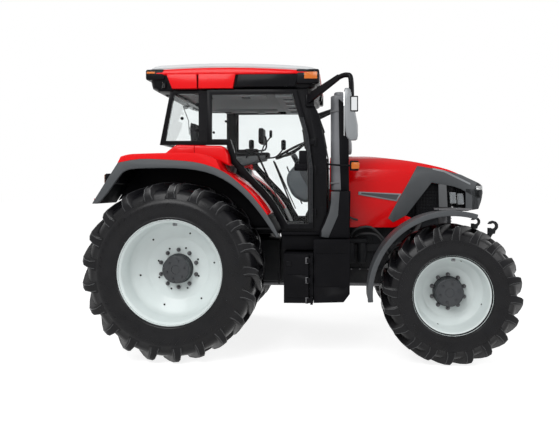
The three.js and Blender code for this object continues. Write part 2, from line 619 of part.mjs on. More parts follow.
// Cover of the exhaust treatment on the right, with the neck that carries the stack.
function aftertreatmentCover() {
  return join(
    sidePlate([[BOX_SPLIT + SWING, BOX_BOTTOM], [BOX_FRONT - 60, BOX_BOTTOM + 10],
      [BOX_FRONT, BOX_BOTTOM + 90], [BOX_FRONT, 1160], [BOX_SPLIT + SWING, 1160]], -SIDE_BOX_OUT, -SIDE_BOX_IN),
    sidePlate([[1490, 1100], [BOX_FRONT, 1100], [1712, STACK.bottom - FIT], [1545, STACK.bottom - FIT]],
      -STACK.outer, -STACK.inner),
    block([1500, 1600], [-SIDE_BOX_IN - 10, -ENGINE_HALF - FIT], [800, 880]));
}
add('aftertreatment_cover', 'plastic', aftertreatmentCover());

function roundedRectangle(x0, x1, y0, y1, radius, steps) {
  const corners = [[x1 - radius, y1 - radius], [x0 + radius, y1 - radius], [x0 + radius, y0 + radius],
    [x1 - radius, y0 + radius]];
  return corners.flatMap(([x, y], i) => arc(x, y, radius, 90 * i, 90 * i + 90, steps));
}

function exhaustStack() {
  const { rear, front, inner, outer, bottom, top } = STACK;
  const middle = [(rear + front) / 2, -(inner + outer) / 2];
  return join(
    floorPlate(roundedRectangle(rear, front, -outer, -inner, 60, 4), bottom, top - 40),
    bar([...middle, top - 60], [...middle, top], 55, 16));
}
add('exhaust_stack', 'silver', exhaustStack());

// ---- Rear fenders -----------------------------------------------------------------------------
const AXLE_Z = REAR_WHEEL.radius;
const SHOULDER_TOP = CAB_WAIST - SWING;
const SHOULDER_HALF = CAB_HALF + 150;
const FENDER_TAIL = [[-753, 1508], [-500, 1906], [-463, 1963], [-292, 1985]];

function rearFender() {
  const front = arc(0, AXLE_Z, FENDER_RADIUS, 19, 48, 6);
  const top = [...front, [513, 1905], [380, FENDER_TOP], ...[...FENDER_TAIL].reverse()];
  const underside = arc(0, AXLE_Z, ARCH_RADIUS, 133, 20, 14);
  const archTail = [-666, 1517];
  const skin = [...top, archTail, ...underside];
  const well = arc(0, AXLE_Z, FENDER_RADIUS - FENDER_WALL, 17, 48, 6);
  const hollow = [
    ...well, [497, 1905 - FENDER_WALL], [375, FENDER_TOP - FENDER_WALL], [-285, 1985 - FENDER_WALL],
    [-452, 1945 - FENDER_WALL], [-700, 1500], [0, 1200],
  ];
  const wall = sidePlate([...top, archTail, [-640, 1560], [-500, 1500], [-150, 1250], [900, 1200]],
    FLOOR_HALF, FLOOR_HALF + FENDER_WALL);
  const lip = sidePlate(skin, FENDER_HALF - FENDER_WALL, FENDER_HALF);
  const shell = cut(
    sidePlate([...top, archTail, [0, 1300]], FLOOR_HALF, FENDER_HALF),
    sidePlate(hollow, FLOOR_HALF + FENDER_WALL, FENDER_HALF + 10),
    sidePlate([...arc(0, AXLE_Z, ARCH_RADIUS, 15, 133, 14), [-700, 1400], [0, 900]],
      FLOOR_HALF - 5, FENDER_HALF + 5));
  const shoulder = sidePlate([[-60, FENDER_TOP - 8], [-35, SHOULDER_TOP], [464, SHOULDER_TOP - 12],
    [500, FENDER_TOP - 90], [380, FENDER_TOP - 8]], FLOOR_HALF, SHOULDER_HALF);
  return join(shell, wall, lip, shoulder);
}
addPair('rear_fender', 'red', rearFender());

// ---- Cab --------------------------------------------------------------------------------------
const FRAME_IN = CAB_HALF - CAB_FRAME;
const SILL_X = 1035;
const PILLAR_FOOT = CAB_FLOOR - 45;

// Floor, seat deck, rear wall, firewall and front side walls, in one pressed shell on four mounts.
function cabFloor() {
  const half = FLOOR_HALF - FIT;
  const wide = FRAME_IN - FIT;
  const wallTop = 1405;
  const floor = floorPlate([[-150, -half], [SILL_X + 5, -half], [SILL_X + 5, -wide], [CAB_NOSE - 35, -wide],
    [CAB_NOSE - 35, wide], [SILL_X + 5, wide], [SILL_X + 5, half], [-150, half]], CAB_FLOOR - 50, CAB_FLOOR);
  const mount = (x, y, z) => block([x - 50, x + 50], [y - 35, y + 35], [z + FIT, CAB_FLOOR - 40]);
  const mounts = [-130, 130].flatMap((y) => [mount(0, y, HOUSING_TOP), mount(1300, y, GEARBOX_TOP)]);
  const sideWall = block([CAB_NOSE - 65, CAB_NOSE - 35], [400, wide], [CAB_FLOOR - 20, wallTop]);
  return join(
    floor, ...mounts,
    block([-120, 540], [-half, half], [CAB_FLOOR - 10, DECK_TOP]),
    block([-150, -110], [-half, half], [CAB_FLOOR - 10, 2060]),
    block([CAB_NOSE - 65, CAB_NOSE - 35], [-415, 415], [CAB_FLOOR - 10, 1985]),
    sideWall, mirrored(sideWall));
}
add('cab_floor', 'trim', cabFloor());

const NOSE_LINE = [[1272, CAB_TOP], [1397, 2383], [1470, 2014], [CAB_NOSE, 1397]];
const DOOR_REAR = 285;
const DOOR_HINGE = { x: 1362, y: CAB_HALF + 21, radius: 12, heights: [1420, 1840, 2120], half: 26 };
const fenderLine = (gap, low, steps) => arc(0, AXLE_Z, FENDER_RADIUS + gap, 48, low, steps);

// Outline of the door, down the front edge, along the sill and up the curve over the fender.
function doorOutline(inset) {
  return shrunk([
    [DOOR_REAR, CAB_TOP - 8], [DOOR_REAR, CAB_WAIST + 8], [485, CAB_WAIST + 8], [540, 1918],
    ...fenderLine(30, 27, 4), [1064, CAB_FLOOR + 20], [1340, CAB_FLOOR + 20], [1340, 1880], [1296, 2210],
    [1172, CAB_TOP - 8],
  ], inset);
}

const QUARTER = [[-150, 2134], [-58, 2605], [190, 2605], [190, 2134]];

function cabFrame() {
  const side = cut(
    sidePlate([
      [-205, CAB_WAIST], [-95, CAB_TOP - FIT], ...NOSE_LINE.map(([x, z]) => [x, Math.min(z, CAB_TOP - FIT)]),
      [CAB_NOSE, PILLAR_FOOT], [SILL_X + 10, PILLAR_FOOT], ...fenderLine(SWING, 21, 6).reverse(), [522, 1908],
      [473, CAB_WAIST],
    ], FRAME_IN, CAB_HALF),
    sidePlate(doorOutline(DOOR_LAP), FRAME_IN - 5, CAB_HALF + 5),
    sidePlate(QUARTER, FRAME_IN - 5, CAB_HALF + 5));
  const lugs = DOOR_HINGE.heights.flatMap((z) =>
    lugsOf(DOOR_HINGE, z, DOOR_HINGE.x, [CAB_HALF - 5, DOOR_HINGE.y + DOOR_HINGE.radius]));
  const half = FRAME_IN + 10;
  return join(
    side, mirrored(side), ...lugs, ...lugs.map(mirrored),
    block([1195, 1250], [-half, half], [CAB_TOP - 50, CAB_TOP - FIT]),
    block([-80, -25], [-half, half], [CAB_TOP - 50, CAB_TOP - FIT]),
    block([-195, -150 - FIT], [-half, half], [CAB_WAIST, CAB_WAIST + 36]),
    block([CAB_NOSE - 35 + FIT, CAB_NOSE], [-half, half], [PILLAR_FOOT, CAB_FLOOR]));
}
add('cab_frame', 'black', cabFrame());

function doorFrame() {
  const inner = CAB_HALF + SWING;
  const leaves = DOOR_HINGE.heights.flatMap((z) => [
    barrel(DOOR_HINGE, z),
    block([1302, DOOR_HINGE.x], [inner + 4, inner + 18], [z - DOOR_HINGE.half, z + DOOR_HINGE.half]),
  ]);
  return join(
    cut(sidePlate(doorOutline(0), inner, inner + DOOR_THICK),
      sidePlate(doorOutline(DOOR_RAIL), inner - 5, inner + DOOR_THICK + 5)),
    ...leaves);
}
addPair('door', 'black', doorFrame());
addPair('door_glass', 'glass', sidePlate(doorOutline(DOOR_RAIL + FIT), CAB_HALF + 16, CAB_HALF + 16 + GLASS));

addPair('quarter_window', 'glass', sidePlate(shrunk(QUARTER, FIT),
  FRAME_IN + 15, FRAME_IN + 15 + GLASS));

// The windscreen is one curved pane between the front pillars, cut out around the hood.
function windscreen() {
  const half = FRAME_IN - FIT;
  const outer = [[1262, 2635], [1388, 2383], [1461, 2014], [1465, 1405 + FIT]];
  const pane = sidePlate([...outer, ...outer.map(([x, z]) => [x - GLASS, z]).reverse()], -half, half);
  return cut(pane, block([1300, 1600], [-HOOD_HALF - 20, HOOD_HALF + 20], [1300, 1990]));
}
add('windscreen', 'glass', windscreen());

add('rear_window', 'glass', sidePlate([[-188, CAB_WAIST + 36 + FIT], [-188 + GLASS, CAB_WAIST + 36 + FIT],
  [-94 + GLASS, CAB_TOP - 10], [-94, CAB_TOP - 10]], FIT - FRAME_IN, FRAME_IN - FIT));

function roofLayer(profile, half, corner) {
  const plan = roundedRectangle(ROOF_REAR, ROOF_NOSE, -half, half, corner, 4);
  return common(sidePlate(profile, -half, half), floorPlate(plan, CAB_TOP, CAB_TOP + 400));
}
add('roof', 'red', roofLayer([
  [-240, CAB_TOP], [1290, CAB_TOP], [ROOF_NOSE, 2700], [ROOF_NOSE, ROOF_SPLIT], [ROOF_REAR, ROOF_SPLIT],
  [ROOF_REAR, 2700],
], ROOF_HALF, 120));
add('roof_cap', 'cap', roofLayer([
  [ROOF_REAR, ROOF_SPLIT + FIT], [ROOF_NOSE, ROOF_SPLIT + FIT], [1385, 2848], [1050, 2900], [536, 2920],
  [20, 2905], [-315, 2848],
], ROOF_HALF, 120));

const MIRROR = { rear: 1600, front: 1770, inner: 1150, outer: 1225, bottom: 2090, top: 2580 };

// Mirror head on its arm, which starts at the front pillar under the roof.
function mirror() {
  const { rear, front, inner, outer, bottom, top } = MIRROR;
  const head = crossPlate(roundedRectangle(inner, outer, bottom, top, 34, 3), rear + 40, front);
  const elbow = [1640, 1120, 2690];
  return join(
    head,
    bar([1290, CAB_HALF + FIT, 2560], [1290, CAB_HALF + 40, 2560], 20),
    bar([1290, CAB_HALF + 20, 2560], elbow, 16), bar(elbow, [1690, (inner + outer) / 2, top - 40], 16));
}
addPair('mirror', 'plastic', mirror());

// ---- Inside the cab ---------------------------------------------------------------------------
const STEERING = { x: 1060, z: 2080, radius: 200, grip: 15, tilt: THREE.MathUtils.degToRad(28), hubDepth: 51 };
const downColumn = (s) =>
  [STEERING.x + s * Math.sin(STEERING.tilt), 0, STEERING.z - s * Math.cos(STEERING.tilt)];

function dashboard() {
  const front = CAB_NOSE - 65 - FIT;
  return join(
    sidePlate([[1260, CAB_FLOOR + FIT], [front, CAB_FLOOR + FIT], [front, 1930], [1300, 1975], [1190, 1950],
      [1165, 1830], [1270, 1640]], -190, 190),
    bar(downColumn(330), downColumn(STEERING.hubDepth + FIT), 32));
}
add('dashboard', 'trim', dashboard());

function steeringWheel() {
  const { radius, grip, hubDepth } = STEERING;
  const ring = new THREE.LatheGeometry(Array.from({ length: 7 }, (_, i) => {
    const angle = i / 6 * Math.PI * 2;
    return new THREE.Vector2(radius - grip + grip * Math.cos(angle), grip * Math.sin(angle));
  }), 20);
  const spoke = (angle) => new THREE.BoxGeometry(radius - grip, 14, 36).translate((radius - grip) / 2, 0, 0)
    .rotateY(angle);
  const hub = new THREE.CylinderGeometry(48, 40, hubDepth + 15, 10).translate(0, (15 - hubDepth) / 2, 0);
  return join(ring, hub, ...[0, 2, 4].map((k) => spoke(k * Math.PI / 3)));
}
const wheel = add('steering_wheel', 'black', steeringWheel());
wheel.rotation.x = Math.PI / 2;
wheel.rotateOnWorldAxis(new THREE.Vector3(0, 1, 0), -STEERING.tilt);
wheel.position.set(STEERING.x, 0, STEERING.z);

const SEAT_TOP = 1745;
const SEAT_HALF = 250;
const BACKREST = { foot: 62, head: 2, headTop: 2060 };
const BACKREST_SLOPE = (BACKREST.head - BACKREST.foot) / (BACKREST.headTop - SEAT_TOP);
const backrestFace = (z) => BACKREST.foot + BACKREST_SLOPE * (z - SEAT_TOP) + FIT * 1.05;
add('seat_base', 'black', join(
  block([150, 500], [-170, 170], [DECK_TOP + FIT, SEAT_TOP - 40]),
  sidePlate([[30, SEAT_TOP - 45], [520, SEAT_TOP - 45], [520, SEAT_TOP], [BACKREST.foot, SEAT_TOP],
    [BACKREST.head, BACKREST.headTop], [BACKREST.head - 32, BACKREST.headTop]], -200, 200)));
add('seat_cushion', 'fabric', sidePlate([[76, SEAT_TOP + FIT], [600, SEAT_TOP + FIT], [620, 1815], [590, 1868],
  [90, 1855], [66, 1800]], -SEAT_HALF, SEAT_HALF));
const BACK_LOW = 1874;
const BACK_STEP = BACKREST.headTop + SWING;
add('seat_back', 'fabric', sidePlate([[backrestFace(BACK_LOW), BACK_LOW], [110, BACK_LOW + 6], [52, 2400],
  [-4, 2430], [-62, 2425], [-70, 2380], [-34, BACK_STEP], [backrestFace(BACK_STEP), BACK_STEP]],
20 - SEAT_HALF, SEAT_HALF - 20));
add('side_console', 'trim', sidePlate([[180, DECK_TOP + FIT], [420, DECK_TOP + FIT], [500, 1880], [830, 1950],
  [830, 2010], [430, 1990], [150, 1930]], -460, -300));

// ---- Hood -------------------------------------------------------------------------------------
// One tilting shell: side outline, plan taper and rounded section, hollow below and behind.
function hoodBody(inset) {
  const top = 1996 - inset;
  const nose = WHEELBASE + 490;
  const through = inset > 0 ? 30 : 0;   // the hollow runs out below and behind
  const side = sidePlate([
    [HOOD_REAR - through, 1500 - through], [1600, 1330 - through], [1690, 1247 - through],
    [nose - 970, 1247 - through], [nose - 720, 1330 - through], [nose - 150, 1430 - through],
    [nose - 70 - inset, 1440 - through], [nose - 20 - inset, 1560], [nose - inset, 1640],
    [nose - 30 - inset, 1690 - inset], [nose - 152, 1745 - inset], [nose - 411, 1856 - inset],
    [nose - 718, 1933 - inset], [nose - 996, 1974 - inset], [1814, top + 14],
    [HOOD_REAR - through, top - 6],
  ], -HOOD_HALF - 20, HOOD_HALF + 20);
  const half = HOOD_HALF - inset;
  const tip = HOOD_NOSE_HALF - inset;
  const planHalf = [[HOOD_REAR - through, half - 12], [1900, half], [nose - 740, half - 14],
    [nose - 290, tip + 38], [nose - 80, tip], [nose - 10, tip - 70], [nose + 20, tip - 160]];
  const plan = floorPlate([...planHalf, ...planHalf.map(([x, y]) => [x, -y]).reverse()], 1200, 2100);
  const sectionHalf = [[half, 1200], [half, 1560], [half - 24, 1780], [half - 70, 1900],
    [half - 150, top - 22], [half - 250, top + 8]];
  const bend = crossPlate([...sectionHalf, [0, top + 16], ...sectionHalf.map(([y, z]) => [-y, z]).reverse()],
    HOOD_REAR - 50, nose + 60);
  return common(side, plan, bend);
}

function hood() {
  const lug = sidePlate([
    [HOOD_HINGE.x - 20, HOOD_HINGE.z - 18], [HOOD_HINGE.x + 60, HOOD_HINGE.z - 18], [HOOD_HINGE.x + 100, 1985],
    [HOOD_HINGE.x - 12, 1985],
  ], HINGE_POST.outer + 8, HINGE_POST.outer + 34);
  const pinBore = crossBore(HOOD_HINGE, -200, 200, HOOD_HINGE.pin + PIN_PLAY);
  const shell = cut(hoodBody(0), hoodBody(HOOD_WALL));
  return cut(join(shell, lug, mirrored(lug)), pinBore);
}
add('hood', 'red', hood());

// ---- Origin on the ground under the middle of the tractor -------------------------------------
tractor.updateMatrixWorld(true);
const extent = new THREE.Box3().setFromObject(tractor, true);
tractor.position.set(-(extent.min.x + extent.max.x) / 2, 0, -extent.min.z);

export default tractor;
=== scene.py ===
# %% [markdown]
# # A farm tractor, dressed around its frame
# The frame holds every rigid piece at its real size: wheels, axles, cab, hood and linkage. This notebook gives
# each of them the surface of the real machine. The frame is loaded first, because every place and size below is
# read from it, so that nothing has to be fitted afterwards.

# %% Load the frame
import json
import math

import bpy
from mathutils import Matrix, Vector


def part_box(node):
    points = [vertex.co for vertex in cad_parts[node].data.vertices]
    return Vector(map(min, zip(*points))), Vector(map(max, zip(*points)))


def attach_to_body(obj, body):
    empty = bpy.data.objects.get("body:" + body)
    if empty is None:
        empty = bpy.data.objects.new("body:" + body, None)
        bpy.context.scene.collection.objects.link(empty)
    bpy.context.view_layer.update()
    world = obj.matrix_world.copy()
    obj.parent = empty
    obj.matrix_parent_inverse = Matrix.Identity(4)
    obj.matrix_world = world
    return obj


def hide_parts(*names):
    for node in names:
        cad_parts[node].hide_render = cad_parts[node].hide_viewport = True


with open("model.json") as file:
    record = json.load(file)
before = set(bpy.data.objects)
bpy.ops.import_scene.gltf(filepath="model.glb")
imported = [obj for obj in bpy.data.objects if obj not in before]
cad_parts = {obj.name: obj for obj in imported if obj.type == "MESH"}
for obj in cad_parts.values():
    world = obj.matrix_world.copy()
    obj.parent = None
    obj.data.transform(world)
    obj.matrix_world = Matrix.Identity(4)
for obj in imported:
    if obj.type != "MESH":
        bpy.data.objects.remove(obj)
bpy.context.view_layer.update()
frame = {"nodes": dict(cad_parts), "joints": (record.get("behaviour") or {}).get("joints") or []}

NODES = frame["nodes"]
JOINTS = {joint["name"]: joint for joint in frame["joints"]}
REAR_AXLE = Vector(JOINTS["rear_wheel_right_spin"]["pos_m"])
FRONT_AXLE = Vector(JOINTS["front_wheel_right_spin"]["pos_m"])
AXLE_X = REAR_AXLE.x
WELD = 0.00005

# %% [markdown]
# ## Hand tools
# Modelling by hand in Blender is a short list of moves: add a primitive, go into edit mode, extrude, fill, bridge
# or spin, bevel, and leave again. The helpers below are those moves with names. Stations along the
# tractor are given in metres ahead of the rear axle, because that is how its plans are drawn.

# %% Helpers: selecting and finishing
def deselect():
    if bpy.context.object and bpy.context.object.mode != 'OBJECT':
        bpy.ops.object.mode_set(mode='OBJECT')
    bpy.ops.object.select_all(action='DESELECT')


def activate(*pieces):
    deselect()
    for piece in pieces:
        piece.select_set(True)
    bpy.context.view_layer.objects.active = pieces[0]


def edit_all():
    """Enter edit mode with the whole mesh selected."""
    bpy.ops.object.mode_set(mode='EDIT')
    bpy.ops.mesh.select_all(action='SELECT')


def face_outwards():
    """Turn all faces outwards and leave edit mode."""
    bpy.ops.mesh.select_all(action='SELECT')
    bpy.ops.mesh.normals_make_consistent(inside=False)
    bpy.ops.object.mode_set(mode='OBJECT')


def settle(piece):
    """Put a piece's place, turn and scale into its mesh, so that its object sits at the origin."""
    activate(piece)
    bpy.ops.object.transform_apply(location=True, rotation=True, scale=True)
    return piece


def modify(piece, kind, **values):
    """Add one modifier and apply it."""
    activate(piece)
    bpy.ops.object.modifier_add(type=kind)
    modifier = piece.modifiers[-1]
    for key, value in values.items():
        setattr(modifier, key, value)
    bpy.ops.object.modifier_apply(modifier=modifier.name)
    return piece


def rounded(piece, width, segments=2, angle=28):
    return modify(piece, 'BEVEL', width=width, segments=segments, limit_method='ANGLE',
        angle_limit=math.radians(angle), use_clamp_overlap=True)


def smooth(piece, angle=32):
    activate(piece)
    bpy.ops.object.shade_smooth_by_angle(angle=math.radians(angle))
    return piece


def joined(name, pieces):
    activate(*pieces)
    if len(pieces) > 1:
        bpy.ops.object.join()
    bpy.context.object.name = name
    return settle(bpy.context.object)


def copied(piece, name=None):
    activate(piece)
    bpy.ops.object.duplicate()
    twin = bpy.context.object
    twin.name = name or piece.name + "_copy"
    return twin


def mirrored(piece, name):
    """The same piece on the other side of the tractor, with its faces turned back outwards."""
    twin = copied(piece, name)
    twin.scale.y = -1
    settle(twin)
    edit_all()
    face_outwards()
    return twin


# %% Helpers: starting shapes
def ahead(x):
    """A station in metres ahead of the rear axle, in the frame's own X."""
    return AXLE_X + x


def at(x, y, z):
    return ahead(x), y, z


def along(*points):
    """A line of points, each a station with its place across and its height."""
    return [at(*point) for point in points]


def slab(name, low, high):
    """A box between two corners."""
    low, high = Vector(low), Vector(high)
    deselect()
    bpy.ops.mesh.primitive_cube_add(size=1, location=(low + high) / 2, scale=high - low)
    bpy.context.object.name = name
    return settle(bpy.context.object)


def rod(name, start, end, radius, sides=24):
    """A round bar between two points."""
    start, end = Vector(start), Vector(end)
    deselect()
    bpy.ops.mesh.primitive_cylinder_add(vertices=sides, radius=radius, depth=(end - start).length,
        location=(start + end) / 2)
    bar = bpy.context.object
    bar.name = name
    bar.rotation_euler = (end - start).to_track_quat('Z', 'Y').to_euler()
    return settle(bar)


def turned(name, start, end, radius, width, segments=2, sides=24):
    """A round bar with its two edges rounded over."""
    return rounded(rod(name, start, end, radius, sides), width, segments)


def drawn(name, points):
    """A chain of edges through the points, extruded corner by corner from a single one."""
    points = [Vector(p) for p in points]
    deselect()
    bpy.ops.mesh.primitive_plane_add(size=0.001, location=points[0])
    chain = bpy.context.object
    chain.name = name
    bpy.ops.object.mode_set(mode='EDIT')
    bpy.ops.mesh.select_mode(type='VERT')
    bpy.ops.mesh.select_all(action='SELECT')
    bpy.ops.mesh.merge(type='CENTER')
    for here, there in zip(points, points[1:]):
        bpy.ops.mesh.extrude_region_move(TRANSFORM_OT_translate={"value": there - here})
    bpy.ops.object.mode_set(mode='OBJECT')
    return settle(chain)


def pipe(name, points, radius, sides=3):
    """A round bar along a line of points, bent smoothly through them."""
    bar = drawn(name, points)
    bpy.ops.object.convert(target='CURVE')
    bar = bpy.context.object
    bar.data.bevel_depth = radius
    bar.data.bevel_resolution = sides
    bar.data.use_fill_caps = True
    bpy.ops.object.convert(target='MESH')
    bar = bpy.context.object
    bar.name = name
    return smooth(settle(bar), 60)


def prism(name, points, depth):
    """An outline filled and pushed along a vector."""
    piece = drawn(name, points)
    edit_all()
    bpy.ops.mesh.edge_face_add()
    bpy.ops.mesh.extrude_region_move(TRANSFORM_OT_translate={"value": Vector(depth)})
    face_outwards()
    return piece


def side_prism(name, outline, y0, y1):
    """An outline of stations and heights, as thick as from y0 to y1."""
    return prism(name, [at(x, y0, z) for x, z in outline], (0, y1 - y0, 0))


def bridged(name, rings):
    """Closed outlines drawn one by one, then bridged into one skin, with a lid on either end."""
    piece = joined(name, [drawn(name, list(ring) + [ring[0]]) for ring in rings])
    edit_all()
    bpy.ops.mesh.remove_doubles(threshold=WELD)
    bpy.ops.mesh.bridge_edge_loops()
    bpy.ops.mesh.select_all(action='DESELECT')
    bpy.ops.mesh.select_mode(type='EDGE')
    bpy.ops.mesh.select_non_manifold()
    bpy.ops.mesh.edge_face_add()
    face_outwards()
    return piece


def flowing(points, steps=4):
    """More points on a smooth line through the given ones, open at its ends."""
    points = [Vector(p) for p in points]
    line = []
    for i in range(len(points) - 1):
        a, b = points[i], points[i + 1]
        before, after = points[max(i - 1, 0)], points[min(i + 2, len(points) - 1)]
        for k in range(steps):
            t = k / steps
            line.append(0.5 * (2 * a + (b - before) * t + (2 * before - 5 * a + 4 * b - after) * t * t
                + (3 * a - before - 3 * b + after) * t ** 3))
    return [tuple(p) for p in line + [points[-1]]]


def combined(piece, other, operation):
    """Cut, join or keep what two solids share, and drop the second."""
    modify(piece, 'BOOLEAN', object=other, operation=operation, solver='EXACT')
    bpy.data.objects.remove(other)
    return piece


def spun(name, profile, centre, steps):
    """A profile of radius and offset along Y, spun round the axle through centre."""
    centre = Vector(centre)
    piece = drawn(name, [centre + Vector((0, y, r)) for r, y in profile])
    edit_all()
    bpy.ops.mesh.spin(steps=steps, angle=math.tau, center=centre, axis=(0, 1, 0))
    bpy.ops.mesh.select_all(action='SELECT')
    bpy.ops.mesh.remove_doubles(threshold=0.0002)
    face_outwards()
    return piece


def arc(x, z, radius, start, end, steps):
    """Points of an arc, as stations and heights."""
    angles = [math.radians(start + (end - start) * i / steps) for i in range(steps + 1)]
    return [(x + radius * math.cos(a), z + radius * math.sin(a)) for a in angles]


def turned_copies(piece, count, centre, first=0.0):
    """Copies of a piece round an axle, all joined into the first one."""
    centre = Vector(centre)
    ring = []
    for i in range(count):
        twin = copied(piece)
        turn = Matrix.Rotation(first + math.tau * i / count, 4, 'Y')
        twin.matrix_world = Matrix.Translation(centre) @ turn @ Matrix.Translation(-centre)
        ring.append(settle(twin))
    bpy.data.objects.remove(piece)
    return joined(ring[0].name, ring)


def place(piece, material, body="chassis", node=None):
    """Give a piece its finish and body, and hide the frame piece that it stands for."""
    piece.data.materials.clear()
    piece.data.materials.append(material)
    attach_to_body(piece, body)
    if node:
        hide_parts(node)
    return piece


def both_sides(left, material, body="chassis", node=None):
    """Place a piece of the left side and its twin on the right."""
    right = mirrored(left, left.name.replace("left", "right"))
    place(left, material, body, node and node + "_left")
    place(right, material, body.replace("left", "right"), node and node + "_right")


def attach(name, parts, material, body="chassis"):
    """Join parts into one piece, shade it and put it on the tractor."""
    return place(smooth(joined(name, parts)), material, body)


def attach_both(name, parts, material, body="chassis"):
    """Join and shade the left-hand parts, and place them on both sides."""
    both_sides(smooth(joined(name, parts)), material, body=body)


def softened(node, name, width, segments=2):
    """A merged copy of a frame piece with its hard edges rounded over."""
    deselect()
    piece = NODES[node].copy()
    piece.data = NODES[node].data.copy()
    for key in list(piece.keys()):
        del piece[key]
    piece.parent = None
    piece.name = name
    bpy.context.scene.collection.objects.link(piece)
    activate(piece)
    edit_all()
    bpy.ops.mesh.remove_doubles(threshold=WELD)
    bpy.ops.mesh.dissolve_limited(angle_limit=math.radians(1.5))
    bpy.ops.object.mode_set(mode='OBJECT')
    rounded(piece, width, segments)
    return smooth(piece, 40)

# %% [markdown]
# ## Effects that many finishes share
# Real paint and plastic are never one even colour. Three small node groups give every finish the same kinds of
# unevenness: a slow mottle, a fine grain that only bends the light, and dust that gathers low on the machine.
# As groups they are built once, and each finish sets its own amounts.

# %% Shared node groups
def effect(name, inputs, outputs):
    """An empty node group with named inputs and outputs."""
    group = bpy.data.node_groups.new(name, 'ShaderNodeTree')
    for label, value in inputs.items():
        socket = group.interface.new_socket(label, in_out='INPUT', socket_type='NodeSocketFloat')
        socket.default_value = value
    for label in outputs:
        group.interface.new_socket(label, in_out='OUTPUT', socket_type='NodeSocketFloat')
    return group, group.nodes.new('NodeGroupInput'), group.nodes.new('NodeGroupOutput')


def object_noise(tree, scale_socket, detail, roughness=0.55):
    """A noise on the piece's own coordinates, with its scale left to an input."""
    where = tree.nodes.new('ShaderNodeTexCoord')
    noise = tree.nodes.new('ShaderNodeTexNoise')
    dial(noise, {'Detail': detail, 'Roughness': roughness})
    tree.links.new(where.outputs['Object'], noise.inputs['Vector'])
    tree.links.new(scale_socket, noise.inputs['Scale'])
    return noise.outputs['Fac']


def dial(node, values):
    for label, value in values.items():
        node.inputs[label].default_value = value


def remap(tree, value, low, high, to_low=0.0, to_high=1.0):
    node = tree.nodes.new('ShaderNodeMapRange')
    dial(node, {'From Min': low, 'From Max': high, 'To Min': to_low, 'To Max': to_high})
    tree.links.new(value, node.inputs['Value'])
    return node.outputs['Result']


def calc(tree, operation, a, b):
    node = tree.nodes.new('ShaderNodeMath')
    node.operation = operation
    for socket, value in zip(node.inputs, (a, b)):
        if isinstance(value, (int, float)):
            socket.default_value = value
        else:
            tree.links.new(value, socket)
    return node.outputs['Value']


def mottle_effect():
    group, start, end = effect("surface_mottle", {"Scale": 3.0}, ["Mask"])
    fac = object_noise(group, start.outputs['Scale'], 5)
    group.links.new(remap(group, fac, 0.3, 0.7), end.inputs['Mask'])
    return group


def grain_effect():
    group, start, end = effect("fine_grain", {"Scale": 500.0}, ["Height"])
    group.links.new(object_noise(group, start.outputs['Scale'], 2, 0.7), end.inputs['Height'])
    return group


def dust_effect():
    """Dust is thick near the ground, thins out upwards, and lies in patches."""
    group, start, end = effect("low_dust", {"Amount": 0.2, "Top": 1.4}, ["Mask"])
    where = group.nodes.new('ShaderNodeTexCoord')
    parts = group.nodes.new('ShaderNodeSeparateXYZ')
    group.links.new(where.outputs['Object'], parts.inputs['Vector'])
    share = calc(group, 'DIVIDE', parts.outputs['Z'], start.outputs['Top'])
    low = calc(group, 'SUBTRACT', 1.0, share)
    low = remap(group, low, 0.0, 1.0)
    noise = group.nodes.new('ShaderNodeTexNoise')
    dial(noise, {'Scale': 9, 'Detail': 6})
    group.links.new(where.outputs['Object'], noise.inputs['Vector'])
    patch = remap(group, noise.outputs['Fac'], 0.35, 0.7)
    group.links.new(calc(group, 'MULTIPLY', calc(group, 'MULTIPLY', low, patch), start.outputs['Amount']),
        end.inputs['Mask'])
    return group


MOTTLE, GRAIN, DUST = mottle_effect(), grain_effect(), dust_effect()
DUST_COLOUR = (0.30, 0.27, 0.23, 1)
print("shared effects:", MOTTLE.name, GRAIN.name, DUST.name)

# %% [markdown]
# ## Finishes
# Every finish is a Principled shader fed by the shared groups. The painter's choices are the base colour, how far
# it varies, how rough it is, how deep the grain goes and how much dust it holds. What is constant over the whole
# piece, such as clear coat or metal, stays on the shader's own sockets.

# %% A finish from its few values
def group_node(tree, group, **values):
    node = tree.nodes.new('ShaderNodeGroup')
    node.node_tree = group
    dial(node, values)
    return node


def blended(tree, fac, a, b):
    """Mix two colours, each a plain colour or a socket."""
    node = tree.nodes.new('ShaderNodeMix')
    node.data_type = 'RGBA'
    tree.links.new(fac, node.inputs['Factor'])
    for socket, value in ((node.inputs[6], a), (node.inputs[7], b)):
        if isinstance(value, tuple):
            socket.default_value = value
        else:
            tree.links.new(value, socket)
    return node.outputs[2]


def shade(colour, factor):
    return tuple(min(1.0, c * factor) for c in colour[:3]) + (1.0,)


def relief(tree, shader, height, strength, distance):
    """Bend the light by a height, as a bump on the shader's normal."""
    bump = tree.nodes.new('ShaderNodeBump')
    dial(bump, {'Strength': strength, 'Distance': distance})
    tree.links.new(height, bump.inputs['Height'])
    tree.links.new(bump.outputs['Normal'], shader.inputs['Normal'])


